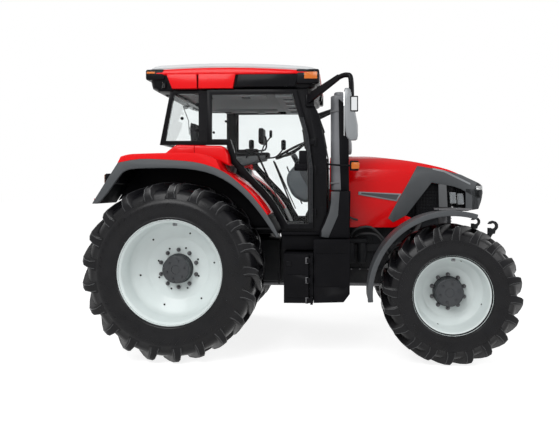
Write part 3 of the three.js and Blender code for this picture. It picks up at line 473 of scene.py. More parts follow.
def finish(name, colour, roughness, vary=0.1, metallic=0.0, coat=0.0, mottle=3.0, grain=500.0, bump=0.05,
        depth=0.0004, dust=0.0, dust_top=1.4, rough_vary=0.08, specular=0.5):
    material = bpy.data.materials.new(name)
    material.use_nodes = True
    tree = material.node_tree
    shader = tree.nodes['Principled BSDF']
    dial(shader, {'Metallic': metallic, 'Coat Weight': coat, 'Specular IOR Level': specular,
        'Coat Roughness': 0.06})
    mask = group_node(tree, MOTTLE, Scale=mottle).outputs['Mask']
    base = blended(tree, mask, shade(colour, 1 - vary), shade(colour, 1 + vary))
    if dust > 0:
        base = blended(tree, group_node(tree, DUST, Amount=dust, Top=dust_top).outputs['Mask'], base,
            DUST_COLOUR)
    tree.links.new(base, shader.inputs['Base Color'])
    tree.links.new(remap(tree, mask, 0, 1, roughness - rough_vary, roughness + rough_vary),
        shader.inputs['Roughness'])
    relief(tree, shader, group_node(tree, GRAIN, Scale=grain).outputs['Height'], bump, depth)
    return material


# %% Paint, plastic, metal and rubber
RED_PAINT = finish("red_paint", (0.60, 0.001, 0.003), 0.24, vary=0.05, coat=0.10, mottle=1.2, grain=260,
    bump=0.02, rough_vary=0.03, dust=0.01, specular=0.16)
GREY_PLASTIC = finish("grey_plastic", (0.048, 0.052, 0.056), 0.46, vary=0.12, grain=900, bump=0.25, dust=0.03,
    specular=0.3)
BLACK_PLASTIC = finish("black_plastic", (0.004, 0.004, 0.005), 0.42, vary=0.2, grain=900, bump=0.2, dust=0.01,
    specular=0.05)
BLACK_PAINT = finish("black_paint", (0.004, 0.004, 0.005), 0.28, vary=0.15, coat=0.02, grain=300, bump=0.04,
    specular=0.07)
CAST_PAINT = finish("cast_paint", (0.014, 0.015, 0.017), 0.48, vary=0.2, grain=140, bump=0.35, depth=0.0008,
    dust=0.08, dust_top=1.3, specular=0.12)
RIM_PAINT = finish("rim_paint", (0.60, 0.655, 0.65), 0.34, vary=0.03, coat=0.1, grain=300, bump=0.03,
    rough_vary=0.04, dust=0.04, specular=0.35)
HUB_PAINT = finish("hub_paint", (0.036, 0.039, 0.043), 0.42, vary=0.15, grain=160, bump=0.25, depth=0.0006,
    dust=0.04, specular=0.3)
TYRE_RUBBER = finish("tyre_rubber", (0.004, 0.004, 0.005), 0.30, vary=0.3, mottle=6, grain=220, bump=0.3,
    depth=0.0007, dust=0.01, dust_top=2.2, specular=0.19)
# Painted highlight: a lighter rubber for the lines along the lug edges, where light catches them.
LUG_HIGHLIGHT_RUBBER = finish("lug_highlight_rubber", (0.040, 0.041, 0.043), 0.34, vary=0.4, mottle=14, grain=220, bump=0.2,
    specular=0.4)
ROOF_WHITE = finish("roof_white", (0.50, 0.51, 0.52), 0.4, vary=0.03, grain=500, bump=0.06, specular=0.3)
STEEL_GREY = finish("steel_grey", (0.085, 0.088, 0.092), 0.4, vary=0.08, grain=500, bump=0.1, specular=0.3)
SILVER_PLASTIC = finish("silver_plastic", (0.19, 0.20, 0.21), 0.36, vary=0.06, metallic=0.2, grain=500,
    bump=0.08)
BRIGHT_STEEL = finish("bright_steel", (0.55, 0.55, 0.55), 0.3, vary=0.08, metallic=1.0, grain=300, bump=0.05)
DARK_STEEL = finish("dark_steel", (0.10, 0.10, 0.105), 0.42, vary=0.15, metallic=0.7, grain=300, bump=0.1)
INTERIOR_GREY = finish("interior_grey", (0.050, 0.054, 0.058), 0.55, vary=0.1, grain=700, bump=0.3)
PALE_LINING = finish("pale_lining", (0.23, 0.245, 0.25), 0.8, vary=0.05, grain=900, bump=0.3)
SOFT_RUBBER = finish("soft_rubber", (0.010, 0.010, 0.011), 0.7, vary=0.2, grain=600, bump=0.2)
FLOOR_MAT = finish("floor_mat", (0.020, 0.020, 0.022), 0.85, vary=0.3, grain=400, bump=0.6, depth=0.001)


# %% [markdown]
# Lenses and panes are clear bodies. A pane is a little green and blue, a lens has ribs pressed into its inside,
# and an amber or red lens is coloured all the way through.

# %% Glass and lenses
def clear(name, colour, roughness=0.0, ribs=0.0, ior=1.45, through=1.0):
    material = bpy.data.materials.new(name)
    material.use_nodes = True
    tree = material.node_tree
    shader = tree.nodes['Principled BSDF']
    dial(shader, {'Transmission Weight': through, 'IOR': ior})
    mask = group_node(tree, MOTTLE, Scale=1.5).outputs['Mask']
    tree.links.new(blended(tree, mask, shade(colour, 0.98), shade(colour, 1.02)), shader.inputs['Base Color'])
    tree.links.new(remap(tree, mask, 0, 1, roughness, roughness + 0.012), shader.inputs['Roughness'])
    if ribs > 0:
        where = tree.nodes.new('ShaderNodeTexCoord')
        wave = tree.nodes.new('ShaderNodeTexWave')
        wave.inputs['Scale'].default_value = ribs
        tree.links.new(where.outputs['Object'], wave.inputs['Vector'])
        relief(tree, shader, wave.outputs['Fac'], 0.5, 0.002)
    return material


CAB_GLASS = clear("cab_glass", (0.93, 0.955, 0.955, 1), ior=1.2)
CLEAR_LENS = clear("clear_lens", (0.93, 0.95, 0.96, 1), 0.02, ribs=40)
AMBER_LENS = clear("amber_lens", (0.85, 0.20, 0.01, 1), 0.06, ribs=60, through=0.4)
RED_LENS = clear("red_lens", (0.60, 0.01, 0.01, 1), 0.06, ribs=60, through=0.4)
MIRROR_FACE = finish("mirror_face", (0.80, 0.82, 0.83), 0.05, vary=0.01, metallic=1.0, bump=0.0,
    rough_vary=0.01)
print("finishes:", len(bpy.data.materials))

# %% [markdown]
# ## Studio
# A pale floor, an even sky and three large soft lamps light the tractor from all around. The camera stands at the
# height of the wheel arches, square to the right-hand side, a little ahead of the middle.

# %% Floor, light and camera
FLOOR_GLOW, FLOOR_SHARE = 1.40, 0.6
SKY_LIGHT, SKY_SEEN = 0.42, 1.0


def seen_rays(tree):
    """One for the rays that show the background: straight from the camera, mirrored, or through glass."""
    path = tree.nodes.new('ShaderNodeLightPath')
    shown = calc(tree, 'MAXIMUM', path.outputs['Is Camera Ray'], path.outputs['Is Transmission Ray'])
    return calc(tree, 'MAXIMUM', shown, path.outputs['Is Glossy Ray'])


def studio_floor():
    deselect()
    bpy.ops.mesh.primitive_plane_add(size=120, location=(0, 0, -0.001))
    floor = bpy.context.object
    floor.name = "studio_floor"
    material = bpy.data.materials.new("studio_white")
    material.use_nodes = True
    tree = material.node_tree
    shader = tree.nodes['Principled BSDF']
    dial(shader, {'Base Color': (0.9, 0.9, 0.9, 1), 'Roughness': 0.9})
    glow = tree.nodes.new('ShaderNodeEmission')
    dial(glow, {'Color': (1, 1, 1, 1), 'Strength': FLOOR_GLOW})
    mix = tree.nodes.new('ShaderNodeMixShader')
    tree.links.new(calc(tree, 'MULTIPLY', seen_rays(tree), FLOOR_SHARE), mix.inputs['Fac'])
    tree.links.new(shader.outputs['BSDF'], mix.inputs[1])
    tree.links.new(glow.outputs['Emission'], mix.inputs[2])
    tree.links.new(mix.outputs['Shader'], tree.nodes['Material Output'].inputs['Surface'])
    floor.data.materials.append(material)


def studio_sky():
    world = bpy.data.worlds.new("studio_sky")
    bpy.context.scene.world = world
    world.use_nodes = True
    tree = world.node_tree
    back = tree.nodes['Background']
    tree.links.new(remap(tree, seen_rays(tree), 0, 1, SKY_LIGHT, SKY_SEEN), back.inputs['Strength'])
    back.inputs['Color'].default_value = (1, 1, 1, 1)


def soft_lamp(name, place_at, aim, size, power):
    deselect()
    bpy.ops.object.light_add(type='AREA', location=place_at)
    lamp = bpy.context.object
    lamp.name = name
    lamp.data.size = size
    lamp.data.energy = power
    lamp.rotation_euler = (Vector(aim) - Vector(place_at)).to_track_quat('-Z', 'Y').to_euler()


studio_floor()
studio_sky()
soft_lamp("key_lamp", (-2.5, -6.5, 6.5), (0, 0, 1.2), 5.0, 520)
soft_lamp("front_lamp", (6.5, -3.5, 4.5), (0.8, 0, 1.2), 4.0, 200)
soft_lamp("rear_lamp", (-5.5, 5.5, 5.5), (0, 0, 1.4), 4.0, 220)

# The lens is that of a short telephoto. The shift keeps the side square while the machine is framed off centre.
CAMERA_AT = at(1.586, -6.70, 1.66)
CAMERA_YAW = math.radians(3)
bpy.ops.object.camera_add(location=CAMERA_AT, rotation=(math.pi / 2, 0, CAMERA_YAW))
camera = bpy.context.object
camera.data.lens = 38.45
camera.data.shift_x = -0.0487
camera.data.shift_y = -0.0635
bpy.context.scene.camera = camera
bpy.context.scene.view_settings.view_transform = 'Standard'
print("camera at", [round(v, 2) for v in CAMERA_AT])

# %% [markdown]
# ## Wheels
# A tractor tyre is a plain round carcass with two rows of slanting lugs. The carcass is one profile spun round
# the axle. The lugs could be cut out of a thicker tyre, but they are really blocks that stand on it, so one lug
# is bridged through a few outlines, from the middle of the tread out over the shoulder, and copied round.

# %% Wheel sizes
def wheel_size(tyre, **more):
    low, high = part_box(tyre)
    return dict(centre=Vector(((low.x + high.x) / 2, (low.y + high.y) / 2, (low.z + high.z) / 2)),
        radius=(high.z - low.z) / 2, half=(high.y - low.y) / 2, **more)


REAR = wheel_size("rear_tyre_left", seat=0.483, rim_half=0.26, disc=-0.09, hub=0.135, hub_reach=0.13, lugs=21,
    dish=0.30, nuts=0.186, holes=((0.215, 8), (0.375, 6)))
FRONT = wheel_size("front_tyre_left", seat=0.356, rim_half=0.21, disc=-0.07, hub=0.135, hub_reach=0.12,
    lugs=20, dish=0.235, nuts=0.162, holes=((0.325, 4),))
for size in (REAR, FRONT):
    print("wheel radius", round(size["radius"], 3), "half width", round(size["half"], 3))


def round_at(size, r, turn, y):
    """A point of the wheel, from its radius, its turn ahead of the top and its place across."""
    return size["centre"] + Vector((r * math.sin(turn), y, r * math.cos(turn)))


# %% Tyre carcass
TREAD_DEPTH, LUG_SLANT, SIDEWALL_RIBS = 0.045, 0.80, 56


def carcass(name, size):
    seat, edge, half, top = size["seat"], size["rim_half"], size["half"], size["radius"] - TREAD_DEPTH
    rise = top - seat
    side = [(0.0, edge - 0.022), (0.05, edge - 0.008), (0.08, edge + 0.008), (0.115, edge + 0.016),
        (0.135, edge + 0.012), (0.30, half - 0.012), (0.46, half - 0.002), (0.60, half - 0.003),
        (0.615, half - 0.009), (0.76, half - 0.022), (0.88, half - 0.048), (0.955, half - 0.10),
        (0.99, half - 0.17), (1.0, 0.0)]
    outer = [(seat + rise * share, y) for share, y in side]
    inner = [(seat + rise * share, y) for share, y in ((0.0, edge - 0.05), (0.3, half - 0.055),
        (0.7, half - 0.06), (0.9, half - 0.14), (0.93, 0.0))]
    profile = outer + [(r, -y) for r, y in reversed(outer[:-1])]
    profile += [(r, -y) for r, y in inner] + [(r, y) for r, y in reversed(inner[:-1])]
    return smooth(spun(name, profile + [profile[0]], size["centre"], 96), 50)


# %% One lug and its copies
def lug_stations(size):
    """Across the tread: place, foot and crown radius, and half width."""
    half, top = size["half"], size["radius"]
    return [(-0.030, top - 0.052, top - 0.004, 0.024), (0.05, top - 0.053, top, 0.023),
        (half * 0.52, top - 0.058, top - 0.004, 0.023), (half * 0.80, top - 0.075, top - 0.014, 0.026),
        (half - 0.030, top - 0.105, top - 0.040, 0.030), (half - 0.010, top - 0.150, top - 0.100, 0.036),
        (half - 0.014, top - 0.185, top - 0.150, 0.042)]


def lug(name, size, side, first):
    """From just over the middle of the tread to low on the shoulder, wider at its foot than at its crown."""
    rings = []
    for y, foot, top, width in lug_stations(size):
        turn = first - LUG_SLANT * max(y, 0) / size["radius"]
        ring = []
        for spread, r in ((-1.5, foot), (-1.0, top - 0.007), (-0.75, top), (0.75, top), (1.0, top - 0.007),
                (1.5, foot)):
            ring.append(round_at(size, r, turn + spread * width / r, side * (y if r == foot else y + 0.002)))
        rings.append(ring)
    return bridged(name, rings)


def tread(name, size):
    pitch = math.tau / size["lugs"]
    rows = [turned_copies(lug(name, size, side, shift), size["lugs"], size["centre"])
        for side, shift in ((1, 0.0), (-1, pitch / 2))]
    return smooth(joined(name, rows), 38)


def lug_edges(name, size, side, first):
    """Painted highlights: lighter rubber lines where a lug's flanks meet its crown, where the edge catches the
    light.
    """
    lines = []
    for flank in (-0.87, 0.87):
        rings = []
        for y, _, top, width in lug_stations(size):
            turn = first - LUG_SLANT * max(y, 0) / size["radius"] + flank * width / top
            rings.append([round_at(size, top - 0.0035 + dr, turn + dt, side * (y + dy))
                for dr, dt, dy in ((-0.003, -0.004, 0.0), (0.003, -0.004, 0.0035), (0.003, 0.004, 0.0035),
                (-0.003, 0.004, 0.0))])
        lines.append(bridged(name, rings))
    return joined(name, lines)


def sidewall_ribs(name, size):
    """Fine slanting ribs moulded on the sidewall between the bead and the shoulder."""
    rise = size["radius"] - TREAD_DEPTH - size["seat"]
    rings = []
    for k in range(5):
        r, turn = size["seat"] + rise * (0.33 + 0.055 * k), 0.030 * k
        y = size["half"] - 0.0115 + 0.010 * min(1, k / 3)
        thin = 0.35 if k in (0, 4) else 1.0
        rings.append([round_at(size, r, turn + dt * thin, y + dy * thin)
            for dt, dy in ((-0.004, -0.004), (-0.002, 0.0022), (0.002, 0.0022), (0.004, -0.004))])
    return smooth(turned_copies(bridged(name, rings), SIDEWALL_RIBS, size["centre"]), 50)


for axle, size in (("rear", REAR), ("front", FRONT)):
    body = f"{axle}_wheel_left"
    tyre = joined(f"{axle}_tread_left", [carcass(f"{axle}_carcass", size), tread(f"{axle}_lugs", size),
        sidewall_ribs(f"{axle}_ribs", size)])
    both_sides(tyre, TYRE_RUBBER, body=body, node=f"{axle}_tyre")
    # The lighter lines along the lug edges are painted highlights.
    lug_highlight_rows = [turned_copies(lug_edges(f"{axle}_lug_edges", size, side, shift), size["lugs"], size["centre"])
        for side, shift in ((1, 0.0), (-1, math.pi / size["lugs"]))]
    attach_both(f"{axle}_lug_edges_left", lug_highlight_rows, LUG_HIGHLIGHT_RUBBER, body=body)
    print(tyre.name, len(tyre.data.polygons), "faces")

# %% [markdown]
# A rim is pressed and rolled from plate, so all its steps run round the axle and one spun profile gives them.
# The disc is bolted to the hub by ten nuts, and its few small holes for weights are dark plugs, painted shade.

# %% Rims
def rim(name, size):
    seat, edge, disc, dish = size["seat"], size["rim_half"], size["disc"], size["dish"]
    lip = seat + 0.022
    outside = [(0.0, disc + 0.012), (dish * 0.74, disc + 0.012), (dish * 0.77, disc + 0.016),
        (dish, disc + 0.018), (dish + 0.018, disc + 0.028), (dish + (seat - dish) * 0.30, disc + 0.052),
        (dish + (seat - dish) * 0.62, disc + 0.078), (dish + (seat - dish) * 0.72, disc + 0.094),
        (seat - 0.030, disc + 0.112), (seat - 0.020, disc + 0.14), (seat - 0.020, edge - 0.115),
        (seat - 0.014, edge - 0.10), (seat - 0.013, edge - 0.042), (seat - 0.004, edge - 0.024),
        (lip - 0.010, edge - 0.012), (lip - 0.006, edge), (lip, edge - 0.002), (lip + 0.001, edge - 0.010),
        (seat + 0.002, edge - 0.022)]
    inside = [(seat, 0.022 - edge), (lip, 0.008 - edge), (lip - 0.004, -edge), (seat - 0.012, 0.030 - edge),
        (seat - 0.024, 0.06 - edge), (seat - 0.032, disc + 0.09), (dish + 0.02, disc), (0.0, disc)]
    return smooth(spun(name, outside + inside, size["centre"], 96), 35)


def bolt_ring(name, size, radius, count, y, size_of, depth, first=0.0):
    """Bolt heads or nuts with a washer, standing on the disc."""
    foot = round_at(size, radius, 0, y)
    washer = rod("washer", foot, foot + Vector((0, depth * 0.25, 0)), size_of * 1.35, 16)
    nut = rod(name, foot, foot + Vector((0, depth, 0)), size_of, 6)
    stud = rod("stud", foot, foot + Vector((0, depth * 1.45, 0)), size_of * 0.52, 10)
    return turned_copies(joined(name, [rounded(nut, size_of * 0.12, 1), washer, stud]), count, size["centre"],
        first=first)


def hub(name, size):
    disc, reach, r = size["disc"] + 0.012, size["hub_reach"], size["hub"]
    face = disc - 0.012 + reach
    drum = spun(name, [(0.0, face - 0.006), (r * 0.30, face - 0.006), (r * 0.33, face - 0.001),
        (r * 0.5, face), (r * 0.93, face), (r * 0.99, face - 0.006), (r, face - 0.016), (r, disc + 0.05),
        (r + 0.006, disc + 0.044), (r + 0.006, disc + 0.02), (r + 0.012, disc + 0.012),
        (r + 0.014, disc + 0.002), (0.0, disc + 0.002)], size["centre"], 64)
    heads = bolt_ring("hub_bolts", size, r * 0.66, 6, face, 0.010, 0.010, 0.3)
    small = bolt_ring("hub_screws", size, r * 0.86, 12, face, 0.0045, 0.005, 0.1)
    return smooth(joined(name, [drum, heads, small]), 35)


def weight_holes(name, size):
    """Painted shade: dark plugs a hair proud of the disc stand for its drilled holes."""
    plugs = []
    for radius, count in size["holes"]:
        share = max(0.0, (radius - size["dish"]) / (size["seat"] - size["dish"]))
        y = size["disc"] + (0.0155 if radius < size["dish"] else 0.024 + 0.094 * share)
        foot = round_at(size, radius, 0, y)
        plug = turned("plug", foot - Vector((0, 0.01, 0)), foot + Vector((0, 0.006, 0)), 0.009, 0.002, 1, 12)
        plugs.append(turned_copies(plug, count, size["centre"], first=0.35))
    return joined(name, plugs)


# The weight holes are dark plugs on the disc, painted shade, with no hole cut.
for axle, size in (("rear", REAR), ("front", FRONT)):
    pieces = [(rim(f"{axle}_disc_left", size), RIM_PAINT, f"{axle}_rim"),
        (hub(f"{axle}_hub_left", size), HUB_PAINT, None),
        (smooth(bolt_ring(f"{axle}_wheel_nuts_left", size, size["nuts"], 10, size["disc"] + 0.013, 0.0155,
        0.030), 35), DARK_STEEL, None), (weight_holes(f"{axle}_weight_holes_left", size), BLACK_PLASTIC,
        None)]
    foot = round_at(size, size["seat"] - 0.016, 0.06, size["rim_half"] - 0.10)
    valve = joined(f"{axle}_valve_left", [rounded(slab("clip", foot - Vector((0.018, 0.02, 0.03)),
        foot + Vector((0.018, 0.02, 0.004))), 0.004, 2),
        rod("stem", foot, foot + Vector((0, 0.055, -0.02)), 0.006, 12)])
    pieces.append((smooth(valve), SILVER_PLASTIC, None))
    for left, material, node in pieces:
        both_sides(left, material, body=f"{axle}_wheel_left", node=node)
    print(axle, "wheel dressed with", len(pieces), "pieces a side")

# %% [markdown]
# ## Hood
# The hood is one moulded shell, hinged in front of the cab. Its form is easiest to see as three outlines:
# from the side, from above and from the front. Each outline is drawn with a smooth line, pushed into a solid, and
# what the three solids share is the hood. A smaller copy of the same solid hollows it out.

# %% Hood outlines
HOOD_TOP_LINE = [(1.50, 1.990), (1.814, 2.010), (2.144, 1.976), (2.422, 1.934), (2.729, 1.858), (2.95, 1.764),
    (3.085, 1.706)]


HOOD_SKIN = 0.022
HOOD_MIDDLE = (2.32, 0, 1.62)
HOOD_REACH = (1.64, 0.40, 0.38)


def hood_outlines(inset):
    """Side, plan and section of the hood; the inset ones run out below and behind."""
    through = 0.03 if inset else 0.0
    top = [(x, z - inset) for x, _, z in flowing([(x, 0, z) for x, z in HOOD_TOP_LINE], 5)]
    top[0] = (top[0][0] - through, top[0][1])
    nose = [(x - inset, z) for x, _, z in flowing([(3.085, 0, 1.706 - inset), (3.128, 0, 1.672),
        (3.139, 0, 1.63), (3.118, 0, 1.55), (3.07, 0, 1.44)], 4)]
    low = [(2.99, 1.43), (2.42, 1.33), (2.17, 1.247), (1.69, 1.247), (1.60, 1.33), (1.50 - through, 1.50)]
    side = top[:-1] + nose[1:] + [(x, z - through) for x, z in low]
    half = [(1.50 - through, 0.388), (1.70, 0.396), (1.90, 0.400), (2.15, 0.396), (2.40, 0.386),
        (2.65, 0.363), (2.85, 0.338), (3.00, 0.308), (3.07, 0.276), (3.12, 0.22), (3.145, 0.14)]
    half = [(x, y - inset) for x, y, _ in flowing([(x, y, 0) for x, y in half], 4)]
    plan = half + [(x, -y) for x, y in reversed(half)]
    flank = [(0.400, 1.20), (0.400, 1.50), (0.396, 1.62), (0.378, 1.78), (0.350, 1.86), (0.305, 1.925),
        (0.235, 1.978), (0.14, 2.004), (0.0, 2.012)]
    flank = [(y - (inset if y else 0), z - (inset if z > 1.9 else 0))
        for _, y, z in flowing([(0, y, z) for y, z in flank], 4)]
    section = flank + [(-y, z) for y, z in reversed(flank[:-1])]
    return side, plan, section


def hood_solid(name, inset=0.0):
    side, plan, section = hood_outlines(inset)
    solid = side_prism(name, side, -0.42, 0.42)
    combined(solid, prism("plan", [at(x, y, 1.2) for x, y in plan], (0, 0, 0.9)), 'INTERSECT')
    return combined(solid, prism("section", [at(1.4, y, z) for y, z in section], (1.8, 0, 0)), 'INTERSECT')


# %% Shell, with its side openings for air
GRILLE = [(2.43, 1.32), (2.288, 1.372), (2.560, 1.727), (2.796, 1.690), (2.883, 1.660), (3.00, 1.592),
    (3.06, 1.57), (3.045, 1.40), (2.90, 1.40)]


hood = combined(hood_solid("hood_shell"), hood_solid("hollow", HOOD_SKIN), 'DIFFERENCE')
for y in (-0.161, 0.161):
    tab = side_prism("hinge_tab", [(1.495, 1.932), (1.575, 1.932), (1.615, 1.985), (1.503, 1.985)], y - 0.013,
        y + 0.013)
    hood = combined(hood, tab, 'UNION')
for near, far in ((0.20, 0.45), (-0.45, -0.20)):
    hood = combined(hood, side_prism("air_opening", GRILLE, near, far), 'DIFFERENCE')
rounded(hood, 0.004, 2, 40)
place(smooth(hood, 28), RED_PAINT, body="hood", node="hood")
print("hood shell:", len(hood.data.polygons), "faces")

# %% [markdown]
# The dark panels on the flanks lie on the same skin. Each is a slice of a slightly larger hood solid, cut out with
# the outline of the panel, so that it follows every curve of the shell and stands a few millimetres proud.

# %% Flank panels
PANEL = [(2.422, 1.895), (2.111, 1.344), (2.163, 1.300), (2.300, 1.375), (2.566, 1.718), (2.796, 1.678),
    (2.883, 1.648), (3.000, 1.580), (3.075, 1.555), (3.20, 1.56), (3.20, 1.78), (3.03, 1.735), (2.88, 1.80),
    (2.70, 1.845)]
TRIM = [(1.800, 1.622), (1.800, 1.588), (2.202, 1.520), (2.251, 1.601)]


def grown_hood(name, by):
    solid = hood_solid(name)
    solid.scale = [1 + by / reach for reach in HOOD_REACH]
    middle = Vector(at(*HOOD_MIDDLE))
    solid.location = middle - Vector(c * s for c, s in zip(middle, solid.scale))
    return settle(solid)


def skin_panel(name, outline, by, inner=0.14, depth=0.026):
    panel = grown_hood(name, by)
    combined(panel, side_prism("cutter", outline, inner, 0.46), 'INTERSECT')
    return combined(panel, grown_hood("core", by - depth), 'DIFFERENCE')


panel = rounded(skin_panel("flank_panel_left", PANEL, 0.006), 0.0025, 2, 35)
both_sides(smooth(panel, 28), GREY_PLASTIC, body="hood")
trim = rounded(skin_panel("flank_trim_left", TRIM, 0.008, 0.30), 0.002, 2, 35)
both_sides(smooth(trim, 28), SILVER_PLASTIC, body="hood")
inlay = rounded(skin_panel("flank_inlay_left", [(1.83, 1.612), (1.83, 1.597), (2.195, 1.536), (2.225, 1.590)],
    0.0095, 0.30), 0.001, 1, 35)
both_sides(smooth(inlay, 28), GREY_PLASTIC, body="hood")
nose_cap = grown_hood("nose_cap", 0.006)
combined(nose_cap, side_prism("cutter", [(3.00, 1.42), (3.2, 1.42), (3.2, 1.725), (3.06, 1.725),
    (3.00, 1.60)], -0.5, 0.5), 'INTERSECT')
combined(nose_cap, slab("inside", at(2.9, -0.28, 1.3), at(3.09, 0.28, 1.66)), 'DIFFERENCE')
place(smooth(rounded(nose_cap, 0.003, 2, 35), 28), GREY_PLASTIC, body="hood")
print("flank panels:", len(panel.data.polygons), "faces")

# %% [markdown]
# Behind each side opening is a mesh of thin bars. It is modelled as real bars, because the gaps must be dark
# holes from every side. The bars stand on a curved frame line a little inside the skin.

# %% Side grilles
def slots(count, low, step, high):
    """A row of box cutters, each one step on from the last."""
    return joined("slots", [slab("slot", Vector(low) + Vector(step) * i, Vector(high) + Vector(step) * i)
        for i in range(count)])


def grille_bars(name):
    upright = grown_hood(name, -0.016)
    combined(upright, side_prism("cutter", GRILLE, 0.18, 0.45), 'INTERSECT')
    combined(upright, grown_hood("core", -0.022), 'DIFFERENCE')
    level = copied(upright, "level_bars")
    combined(upright, slots(25, at(2.325, 0.1, 1.25), (0.030, 0, 0), at(2.349, 0.5, 1.80)), 'DIFFERENCE')
    combined(level, slots(14, at(2.2, 0.1, 1.30), (0, 0, 0.034), at(3.2, 0.5, 1.329)), 'DIFFERENCE')
    return joined(name, [upright, level])


bars = grille_bars("side_grille_left")
both_sides(bars, BLACK_PLASTIC, body="hood")
liner = slab("nose_liner", at(2.84, -0.235, 1.45), at(3.0, 0.235, 1.70))
place(smooth(rounded(liner, 0.02, 3)), BLACK_PLASTIC, body="hood")
print("side grille:", len(bars.data.polygons), "faces")

# %% [markdown]
# The face of the hood carries two slim headlamps under a brow and a grille of level bars between them. The lamps
# are lens bodies in front of a bright bowl, set into the same skin with the trick used for the flank panels.

# %% Face of the hood
def face_slice(name, by, depth, low, high):
    """A piece of the hood's skin between two corners, as thick as its depth."""
    piece = grown_hood(name, by)
    combined(piece, slab("cutter", low, high), 'INTERSECT')
    return combined(piece, grown_hood("core", by - depth), 'DIFFERENCE')


grille_frame = face_slice("face_grille", 0.010, 0.020, at(2.99, -0.19, 1.452), at(3.2, 0.19, 1.625))
combined(grille_frame, slots(6, at(2.95, -0.172, 1.464), (0, 0, 0.0265), at(3.2, 0.172, 1.480)), 'DIFFERENCE')
place(smooth(grille_frame), BLACK_PLASTIC, body="hood")
brow = skin_panel("brow_strip_left", [(2.58, 1.872), (2.70, 1.846), (2.98, 1.712), (2.98, 1.692),
    (2.70, 1.824), (2.58, 1.852)], 0.009, depth=0.012)
both_sides(smooth(brow, 30), SILVER_PLASTIC, body="hood")
skirt = face_slice("nose_skirt", 0.006, 0.020, at(2.93, -0.33, 1.37), at(3.2, 0.33, 1.648))
place(smooth(skirt, 30), GREY_PLASTIC, body="hood")


def side_lamp(name, x0, x1, z0, z1, by, depth=0.014):
    return skin_panel(name, [(x0, z0), (x1, z0), (x1 - 0.012, z1), (x0 - 0.006, z1)], by, depth=depth)


both_sides(smooth(side_lamp("lamp_post_left", 2.645, 2.735, 1.46, 1.700, 0.006), 30), STEEL_GREY,
    body="hood")
for label, x0, x1, z0, z1 in (("rear", 2.765, 2.83, 1.50, 1.615), ("front", 2.845, 2.91, 1.49, 1.600)):
    both_sides(smooth(side_lamp(f"side_lamp_bowl_{label}_left", x0, x1, z0, z1, 0.004), 30), SILVER_PLASTIC,
        body="hood")
    both_sides(smooth(side_lamp(f"side_lamp_{label}_left", x0 - 0.004, x1 + 0.004, z0 - 0.004, z1 + 0.004,
        0.009, 0.004), 30), CLEAR_LENS, body="hood")
lens = face_slice("headlamp_left", 0.011, 0.014, at(2.90, 0.09, 1.640), at(3.2, 0.30, 1.685))
both_sides(smooth(rounded(lens, 0.002, 2)), CLEAR_LENS, body="hood")
bowl = face_slice("headlamp_bowl_left", 0.0075, 0.012, at(2.905, 0.095, 1.643), at(3.2, 0.295, 1.682))
both_sides(smooth(bowl), BRIGHT_STEEL, body="hood")
print("headlamps set in")

# %% [markdown]
# ## Rear fenders
# A fender is a sheet skin over the wheel, with a plastic lip along its outer edge and a dark liner below. From the
# side they are strips of the same curve, so one line is drawn once and each part is a strip offset from it.

# %% Strips along a line
def offset_line(points, by):
    """The same line moved sideways, to the right of its own direction."""
    moved = []
    for i, (x, z) in enumerate(points):
        (x0, z0), (x1, z1) = points[max(i - 1, 0)], points[min(i + 1, len(points) - 1)]
        length = math.hypot(x1 - x0, z1 - z0)
        moved.append((x + (z1 - z0) / length * by, z - (x1 - x0) / length * by))
    return moved


def strip(points, by):
    return points + offset_line(points, by)[::-1]


def side_line(points, steps):
    return [(x, z) for x, _, z in flowing([(x, 0, z) for x, z in points], steps)]


FENDER_LINE = side_line([(-0.470, 1.958), (-0.40, 1.977), (-0.292, 1.985), (0.05, 1.992), (0.28, 1.985),
    (0.44, 1.93)], 4) + arc(0, 0.86, 1.086, 66.5, 31.5, 12)[1:]
SEAM_LINE = side_line([(-0.500, 1.900), (-0.292, 1.935), (-0.03, 1.928), (0.225, 1.906), (0.40, 1.862),
    (0.56, 1.785), (0.742, 1.631), (0.86, 1.495), (0.926, 1.407)], 3)
LIP_FOOT = [(0.985, 1.31), (1.030, 1.215), (1.030, 1.200)]
LIP_UNDER = side_line([(1.010, 1.198), (0.90, 1.36), (0.803, 1.487), (0.70, 1.598), (0.58, 1.697),
    (0.42, 1.783), (0.24, 1.830), (0.05, 1.846), (-0.135, 1.848), (-0.33, 1.842), (-0.42, 1.825),
    (-0.48, 1.775), (-0.60, 1.61), (-0.690, 1.512)], 2)
TAIL_END = [(-0.750, 1.510), (-0.62, 1.715)]
print("fender line of", len(FENDER_LINE), "points")

# %% Skin, lip, liner and tail
skin = side_prism("fender_skin_left", FENDER_LINE + SEAM_LINE[::-1], 0.585, 1.146)
hollow = offset_line(FENDER_LINE, 0.014)
combined(skin, side_prism("hollow", [(-0.60, 1.94)] + hollow + [(0.97, 1.36), (0.80, 1.30), (-0.60, 1.70)],
    0.50, 1.128), 'DIFFERENCE')
skin = rounded(skin, 0.016, 4, 50)
lip = side_prism("fender_lip_left", SEAM_LINE + LIP_FOOT + LIP_UNDER + TAIL_END, 1.112, 1.150)
lip = rounded(lip, 0.010, 3, 50)
liner = side_prism("fender_liner_left", strip(offset_line(FENDER_LINE, 0.016) + [(1.005, 1.235)], 0.010),
    0.59, 1.122)
wall = side_prism("wall", offset_line(FENDER_LINE, 0.006)
    + [(0.99, 1.24), (0.90, 1.21), (-0.15, 1.25), (-0.50, 1.50), (-0.64, 1.56), (-0.70, 1.53), (-0.50, 1.88)],
    0.565, 0.592)
liner = joined("fender_liner_left", [liner, rounded(wall, 0.004, 2, 50)])
